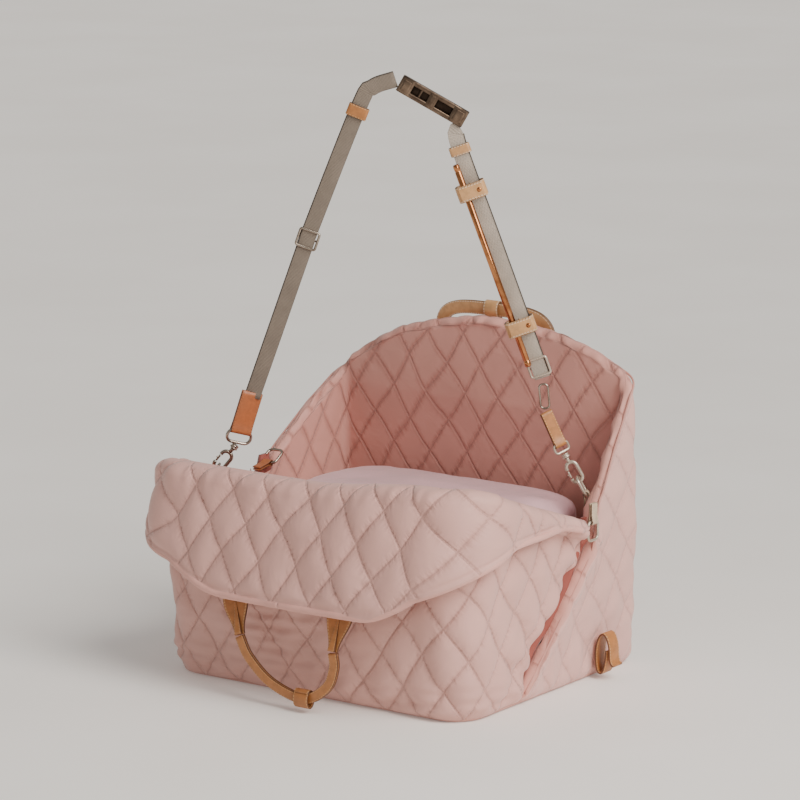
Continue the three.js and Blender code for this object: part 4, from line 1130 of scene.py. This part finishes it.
def folded_tab(name, width, length, bore, material, waist=0.86):
    """A leather strip folded round a bar at the origin, both ends running down -Y."""
    r = bore + 1.4
    angle = np.linspace(0, math.pi, 14)
    arc = np.column_stack([r * np.cos(angle), r * np.sin(angle), 0 * angle])
    leg = np.linspace(length, 0, 12)[:-1]
    close = mix(r * waist, 1.5, smooth(0, 9, leg))
    path = np.vstack([np.column_stack([close, -leg, 0 * leg]), arc,
                      np.column_stack([-close[::-1], -leg[::-1], 0 * leg])])
    return sweep(name, path, (0, 0, 1), width, 1.9, material, radius=0.7)


# rings and their tabs
RING_WIDTH, RING_HEIGHT, RING_WIRE = 24, 26, 2.8
LEFT_BAR, RIGHT_BAR = (-7, 231), (STRAP_SPAN - 1, 222)
LEFT_TILT, RIGHT_TILT = -0.69, 0.5


def add_ring(name, position, turn, tab_tilt, ring_tilt, tab_material, metal_name):
    """A ring that hangs from the bag on a folded leather tab."""
    base_frame = upright(position, turn)
    tab = folded_tab(f"tab_{name}", 12.5, 22, 1.9, tab_material)
    place(tab, base_frame @ Matrix.Rotation(tab_tilt, 4, "Z"))
    add_piece(tab, "bag", "tan_leather", f"ring_tab_{name}")
    ring = wire_loop(f"loop_{name}", RING_WIDTH + 0.6, RING_HEIGHT + 0.6, RING_WIRE + 0.7, 7.8, metal_name)
    lift = Matrix.Translation((0, RING_HEIGHT / 2 - RING_WIRE / 2, 0))
    place(ring, base_frame @ Matrix.Rotation(ring_tilt, 4, "Z") @ Matrix.Rotation(math.pi / 2, 4, "Y") @ lift)
    add_piece(ring, f"ring_{name}_body", "champagne_hardware", f"ring_{name}")


WARM, CREAM = ("leather_warm", "champagne"), ("cream", "cream_paint")
add_ring("front_left", in_plane(*LEFT_BAR), STRAP_TURN, 0, LEFT_TILT, *WARM)
add_ring("rear_right", in_plane(*RIGHT_BAR), STRAP_TURN, 0, RIGHT_TILT, *CREAM)
add_ring("rear_left", (-201, -2, 227), math.pi / 2, -1.4, -1, *WARM)
add_ring("front_right", (HALF_WIDTH + 9, 68, 198), 0, math.pi, math.pi, *CREAM)

# --- snap hooks
HOOK = {"width": 17, "wire": 4, "length": 30, "seat": 4.2, "stem": 5, "barrel": 5}
HOOK_TOP = HOOK["length"] - HOOK["wire"] - HOOK["seat"]
GATE_MIDDLE, GATE_HALF = 6.4, 5.2  # the opening in the hook's wire that its gate closes
RING_REACH = RING_HEIGHT - RING_WIRE


def turned(x, y, angle):
    return x * math.cos(angle) - y * math.sin(angle), x * math.sin(angle) + y * math.cos(angle)


def above(bar_at, tilt, reach):
    dx, dy = turned(0, reach, tilt)
    return bar_at[0] + dx, bar_at[1] + dy


def lathe(name, profile, material, sides=28):
    """A turned part about local Y; profile lists (radius, y)."""
    angle = np.linspace(0, 2 * math.pi, sides, endpoint=False)
    points = np.array([[(r * math.cos(t), y, r * math.sin(t)) for t in angle] for r, y in profile])
    return grid_object(name, points, material, None, ring=True)


def in_gate(points, left):
    """Which points of the hook's wire lie in the gate's opening."""
    return (points[:, 0] < left + 0.6) & (np.abs(points[:, 1] - GATE_MIDDLE) < GATE_HALF)


def add_hook(label, at, tilt, metal_name):
    """A snap hook: a wire loop with an opening, the sprung gate that closes it, and its swivel barrel."""
    frame_here = PLANE @ Matrix.Translation((*at, 0)) @ Matrix.Rotation(tilt, 4, "Z")
    middle = HOOK_TOP - HOOK["length"] / 2
    w, length, wire = HOOK["width"] - HOOK["wire"], HOOK["length"] - HOOK["wire"], HOOK["wire"]
    full = loop_path(w, length, 6.2) + [0, middle, 0]
    fine = resample(np.vstack([full, full[:1]]), 0.8)
    left = -w / 2
    start = int(np.argmax(in_gate(fine, left)))
    ordered = np.roll(fine[:-1], -start, 0)
    keep = ~in_gate(ordered, left)
    body = sweep(f"hook_{label}", ordered[keep], (0, 0, 1), wire + 0.5, wire + 0.5, metal_name, wire * 0.5)
    profile = [(0.2, -1.5), (2.6, -1.2), (2.2, 2.5), (3.0, 4.2), (0.2, 4.6)]
    stem = lathe("stem", [(r, HOOK_TOP + y) for r, y in profile], metal_name)
    body = join(f"hook_{label}", [body, stem])
    place(body, frame_here)
    add_piece(body, "strap", "champagne_hardware", f"strap_hook_{label}")
    gate = bar(f"gate_{label}", (left, 2.2, 0), (left, 10.6, 0), 2.4, 2.4, metal_name, 1.1)
    knob = bar("knob", (left - 2.4, GATE_MIDDLE, 0), (left, GATE_MIDDLE, 0), 2.0, 2.0, metal_name, 0.9)
    gate = join(f"gate_{label}", [gate, knob])
    place(gate, frame_here)
    add_piece(gate, f"gate_{label}", "champagne_hardware", f"strap_gate_{label}")
    y0 = HOOK_TOP + HOOK["stem"] + 0.3
    profile = [(0.3, 0), (4.6, 0), (5.0, 0.6), (5.0, 1.4), (4.3, 1.9),
               (4.3, 3.3), (4.7, 3.8), (4.3, 5), (0.3, 5)]
    barrel = lathe(f"swivel_{label}", [(r, y0 + y) for r, y in profile], metal_name)
    place(barrel, frame_here)
    add_piece(barrel, "strap", "champagne_hardware", f"strap_swivel_{label}")


LEFT_HOOK, RIGHT_HOOK = above(LEFT_BAR, LEFT_TILT, RING_REACH), above(RIGHT_BAR, RIGHT_TILT, RING_REACH)
add_hook("left", LEFT_HOOK, LEFT_TILT, "champagne")
add_hook("right", RIGHT_HOOK, RIGHT_TILT, "cream_paint")

# --- strap ends
LEFT_LEAN, RIGHT_LEAN = -0.3, 0.42
SWIVEL_REACH = HOOK_TOP + HOOK["stem"] + HOOK["barrel"] + 1.8
LEFT_FOOT = above(above(LEFT_HOOK, LEFT_TILT, SWIVEL_REACH), LEFT_LEAN, 17)
RIGHT_FOOT = above(above(RIGHT_HOOK, RIGHT_TILT, SWIVEL_REACH), RIGHT_LEAN, 12)


def add_strap_end(label, foot, lean, ring_size, width, length, material, metal_name, spread):
    """A ring above the swivel, its size as width, height, wire and corner, and the leather folded on it."""
    frame_here = PLANE @ Matrix.Translation((*foot, 0)) @ Matrix.Rotation(lean, 4, "Z")
    ring = wire_loop(f"dring_{label}", *ring_size, metal_name)
    frame_here = frame_here @ Matrix.Rotation(spread, 4, "Y")
    place(ring, frame_here @ Matrix.Translation((0, -ring_size[1] / 2 + ring_size[2] / 2, 0)))
    add_piece(ring, "strap", "champagne_hardware", f"strap_dring_{label}")
    tab = folded_tab(f"leather_{label}", width, length, 1.7, material)
    place(tab, frame_here @ Matrix.Rotation(math.pi, 4, "Z") @ Matrix.Rotation(math.pi / 2, 4, "Y"))
    add_piece(tab, "strap", "tan_leather", f"strap_leather_{label}")


add_strap_end("left", LEFT_FOOT, LEFT_LEAN, ring_size=(34, 18.6, 3.7, 9), width=26, length=50,
              material="leather_warm", metal_name="champagne", spread=0.42)
add_strap_end("right", RIGHT_FOOT, RIGHT_LEAN, ring_size=(22, 13.4, 3.1, 5), width=15, length=42,
              material="leather", metal_name="cream_paint", spread=0.5)

# --- webbing, sliders, keepers, buckle
WEB_WIDTH = 19
SLIDER_LEFT, KEEPER_LEFT = (121, 539), (179, 686)
BUCKLE_LEFT, BUCKLE_RIGHT = (226, 714), (304, 670)
KEEPER_RIGHT, SLIDER_RIGHT = (294, 644), (394, 370)


def toward(start, end, distance):
    length = math.hypot(end[0] - start[0], end[1] - start[1])
    return mix(start[0], end[0], distance / length), mix(start[1], end[1], distance / length)


def strap_frame(start, end):
    turn = math.atan2(end[1] - start[1], end[0] - start[0]) - math.pi / 2
    return PLANE @ Matrix.Translation((*start, 0)) @ Matrix.Rotation(turn, 4, "Z")


def web(name, route, node, material):
    """A run of webbing along a route in the plane of the strap, with a dark strip set behind it whose edge
    shows as painted shade.
    """
    flat = resample([(x, y, 0) for x, y in route], 5)
    world = np.array([in_plane(*p) for p in flat])
    tangent = np.gradient(flat, axis=0)
    tangent /= np.linalg.norm(tangent, axis=1, keepdims=True)
    across = -tangent[:, 1:2] * ALONG + tangent[:, :1] * np.array([0, 0, 1])
    obj = sweep(name, world, across, WEB_WIDTH - 0.6, 1.5, material, radius=0.6, bow=0.35)
    add_piece(obj, "strap", "strap_webbing", node)
    # painted shade: a dark strip just behind the webbing and off to one side, so that its edge shows as the
    # webbing's shaded edge
    behind = world - VIEWER * 1.6 + across * 1.7
    under = sweep(f"{name}_shadow_edge", behind, across, WEB_WIDTH - 1.6, 1.3, "webbing_shadow", 0.5, bow=0.35)
    add_piece(under, "strap", "strap_webbing")


web_start = toward(LEFT_FOOT, SLIDER_LEFT, 44)
LEFT_ROUTE = [web_start, toward(SLIDER_LEFT, web_start, 30), SLIDER_LEFT, KEEPER_LEFT, (194, 707), (221, 717)]
# the left run takes the darker copy of the webbing, as painted shade
web("webbing_left", LEFT_ROUTE, "strap_webbing_left", "webbing_shaded")
RUN_LENGTH = math.hypot(SLIDER_RIGHT[0] - KEEPER_RIGHT[0], SLIDER_RIGHT[1] - KEEPER_RIGHT[1])
WEB_END = toward(KEEPER_RIGHT, SLIDER_RIGHT, RUN_LENGTH + 8)
web("webbing_right", [(297, 661), KEEPER_RIGHT, toward(KEEPER_RIGHT, SLIDER_RIGHT, 120), WEB_END],
    "strap_webbing_right", "webbing")


def make_slider(label, start, end, body, metal_name):
    """A strap slider: a flat wire ring with one bar across, behind the webbing."""
    rail = (WEB_WIDTH + 2) / 2 + 1.5
    frame_here = strap_frame(start, end)
    parts = [wire_loop("ring", 2 * rail + 3, 24, 3.0, 4, metal_name)]
    place(parts[0], Matrix.Translation((0, 0, 1.6)))
    parts.append(bar("bar", (-rail, 0, -2.4), (rail, 0, -2.4), 2.6, 2.6, metal_name, 1.2))
    for side in (-1, 1):
        x = side * rail
        parts.append(bar("post", (x, 0, -2.4), (x, 0, 1.8), 3.0, 2.6, metal_name, 1.2, (0, 1, 0)))
    obj = join(f"slider_{label}_frame", parts)
    place(obj, frame_here)
    add_piece(obj, body, "champagne_hardware", f"strap_slider_{label}")


make_slider("left", toward(SLIDER_LEFT, web_start, 14), SLIDER_LEFT, "slider_left", "champagne")
SLIDER_START = toward(KEEPER_RIGHT, SLIDER_RIGHT, RUN_LENGTH - 6)
make_slider("right", SLIDER_START, WEB_END, "slider_right", "cream_paint")


def make_keeper(label, start, end, height, body, material):
    path = loop_path(WEB_WIDTH + 4.4, 6.4, 2.6)
    path = path[:, [0, 2, 1]]
    obj = sweep(f"keeper_{label}", path, (0, 1, 0), height, 1.9, material, radius=0.7, closed=True)
    place(obj, strap_frame(start, end))
    add_piece(obj, body, "tan_leather", f"strap_keeper_{label}")


make_keeper("left", toward(SLIDER_LEFT, KEEPER_LEFT, 150), KEEPER_LEFT, 14.5, "keeper_left", "leather")
make_keeper("right", toward(KEEPER_RIGHT, SLIDER_RIGHT, 10), SLIDER_RIGHT, 11.5, "strap", "leather_pale")


def make_buckle():
    """The long bronze buckle: two rails, three blocks with flat facets, two recesses and a pin."""
    length = math.hypot(BUCKLE_RIGHT[0] - BUCKLE_LEFT[0], BUCKLE_RIGHT[1] - BUCKLE_LEFT[1])
    parts = []
    for side in (-1, 1):
        x = side * 7.6
        parts.append(bar("rail", (x, 2, 0), (x, length - 2, 0), 5.6, 8.2, "bronze", 1.3, (1, 0, 0)))
    for low, high in ((0.5, 17), (38.5, 49.5), (70.5, length - 0.5)):
        parts.append(bar("block", (0, low, 0.2), (0, high, 0.2), 20.4, 8.0, "bronze", 1.6, (1, 0, 0)))
    for low, high in ((4, 14), (41, 47), (74, length - 4)):
        parts.append(bar("facet", (0, low, 4.2), (0, high, 4.2), 13.0, 1.2, "bronze", 0.5, (1, 0, 0)))
    parts.append(bar("recess", (0, 14, -2.4), (0, 42, -2.4), 14.0, 2.0, "bronze_dark", 0.5, (1, 0, 0)))
    parts.append(bar("recess", (0, 46, -3.0), (0, 74, -3.0), 14.0, 1.2, "bronze_dark", 0.4, (1, 0, 0)))
    parts.append(bar("pin", (-8, 28, 0), (8, 28, 0), 3.2, 3.2, "bronze", 1.5))
    obj = join("buckle", parts)
    place(obj, strap_frame(BUCKLE_LEFT, BUCKLE_RIGHT))
    add_piece(obj, "strap", "bronze_buckle", "strap_buckle")


make_buckle()

# --- rod and its clamps
ROD_TOP, ROD_LENGTH, ROD_OFFSET, ROD_ASIDE, ROD_RADIUS = 24, 256, 9, 10, 4
ROD_FRAME = strap_frame(KEEPER_RIGHT, SLIDER_RIGHT)


def make_rod():
    r = ROD_RADIUS - 0.1
    tip = [(0.2, 0), (r * 0.7, 0), (r, 1.4), (r, 7), (r * 0.86, 7.5), (r * 0.86, 8.5), (r, 9)]
    profile = tip + [(radius, ROD_LENGTH - y) for radius, y in tip[::-1]]
    obj = lathe("gilt_rod", profile, "gilt", 32)
    place(obj, ROD_FRAME @ Matrix.Translation((ROD_ASIDE, ROD_TOP, ROD_OFFSET)))
    add_piece(obj, "strap", "gilt_rod", "strap_rod")


def make_clamp(label, distance):
    """One leather strip round both the rod and the webbing, stitched between them, with a free tail."""
    path = loop_path(33, 18, 5)[:, [0, 2, 1]] + [3, 0, 4]
    parts = [sweep("loop", path, (0, 1, 0), 19.5, 2.4, "leather_pale", radius=0.8, closed=True)]
    tail = resample([(-13, 0, 13.5), (-4, 0, 14.4), (8, 0, 14.6), (17, 0, 13.6)], 1.5)
    parts.append(sweep("tail", tail, (0, 1, 0), 17.5, 1.8, "leather_pale", radius=0.7))
    bridge = resample([(2.5, 0, -3.5), (2.7, 0, 4), (2.5, 0, 12.5)], 1.5)
    parts.append(sweep("bridge", bridge, (0, 1, 0), 18.5, 1.8, "leather_pale", radius=0.7))
    stud = lathe("stud", [(0.2, 0), (2.6, 0.1), (2.8, 0.7), (1.8, 1.4), (0.2, 1.6)], "gilt", 16)
    place(stud, Matrix.Translation((-7, 0, 14.6)) @ Matrix.Rotation(math.pi / 2, 4, "X"))
    parts.append(stud)
    obj = join(f"clamp_{label}", parts)
    place(obj, ROD_FRAME @ Matrix.Translation((0, distance, 0)))
    add_piece(obj, "strap", "tan_leather", f"rod_clamp_{label}")


make_rod()
make_clamp("upper", 60)
make_clamp("lower", 232)

# link under the right slider
link_top = above(RIGHT_FOOT, RIGHT_LEAN, 42)
link_foot = toward(link_top, WEB_END, 3)
link = wire_loop("link", 13, 32, 2.6, 5.5, "champagne")
place(link, strap_frame(link_foot, WEB_END) @ Matrix.Translation((0, 16, 0)))
add_piece(link, "strap", "champagne_hardware", "strap_link")


# --- leather loops at the sides
def make_side_loop(label, side):
    """One leather strip: a tall oval that folds over at the top, its outer leg ending in a free curl."""
    c = centre_of(f"side_loop_{label}")
    line = [(13.6, -13.4), (11.2, -12.6), (8.9, -8.5), (8.0, -2), (7.4, 8), (4.6, 18),
            (0.6, 23.4), (-4.2, 23), (-8.4, 16), (-11, 5), (-11.4, -8), (-9.6, -20),
            (-6.4, -24.6), (-2.2, -23), (0.8, -15), (2.6, -5), (3.4, 4)]
    points = np.array([(side * x, 0, z) for x, z in line])
    obj = sweep(f"leather_loop_{label}", resample(points, 1.4), (0, 1, 0), 21, 2.6, "leather", radius=1.0)
    place(obj, Matrix.Translation(c))
    add_piece(obj, "bag", "tan_leather", f"side_loop_{label}")


make_side_loop("left", -1)
make_side_loop("right", 1)

# the base board keeps its CAD shape
board = NODES["base_board"]
board.data.materials.clear()
board.data.materials.append(MATERIALS["board"])


# --- floor and light
def make_stage():
    """A pale floor that reaches 30 m each way, glowing faintly as a lit studio floor does."""
    across = np.sinh(np.linspace(-4.2, 4.2, 41)) * 900
    points = np.array([[(x, y, 0) for y in across] for x in across])
    sh = Shader("studio_floor")
    grain = sh.noise(sh.place.outputs["Object"], 2.0, 3.0)
    tone = sh.blend(sh.ramp(grain, 0.3, 0.7), rgb("f1ede8"), rgb("ece7e1"))
    sh.main.inputs["Emission Color"].default_value = (1.0, 0.97, 0.94, 1)
    sh.main.inputs["Emission Strength"].default_value = 0.13
    sh.set(color=tone, rough=0.62, specular=0.2)
    floor = grid_object("studio_floor", points, sh.material)


def sun_light(name, direction, energy, angle, colour):
    data = bpy.data.lights.new(name, "SUN")
    data.energy, data.angle, data.color = energy, math.radians(angle), colour
    light = bpy.data.objects.new(name, data)
    light.rotation_mode = "QUATERNION"
    light.rotation_quaternion = Vector(direction).to_track_quat("Z", "Y")
    light.location = Vector(direction) * 3
    SCENE.collection.objects.link(light)


def area_light(name, position, aim, size, power, colour):
    data = bpy.data.lights.new(name, "AREA")
    data.shape, data.size, data.energy, data.color = "DISK", size, power, colour
    light = bpy.data.objects.new(name, data)
    light.location = position
    light.rotation_mode = "QUATERNION"
    light.rotation_quaternion = (Vector(aim) - Vector(position)).to_track_quat("-Z", "Y")
    SCENE.collection.objects.link(light)


make_stage()
world = bpy.data.worlds.new("studio")
world.use_nodes = True
sky = world.node_tree.nodes["Background"]
sky.inputs["Color"].default_value = (0.84, 0.82, 0.79, 1)
sky.inputs["Strength"].default_value = 0.46
SCENE.world = world
sun_light("sun", direction=(0.8, -0.08, 0.85), energy=2.3, angle=38, colour=(1.0, 0.965, 0.92))
area_light("key", position=(1.5, -0.4, 1.1), aim=(0, 0, 0.25), size=0.8, power=14, colour=(1.0, 0.96, 0.92))
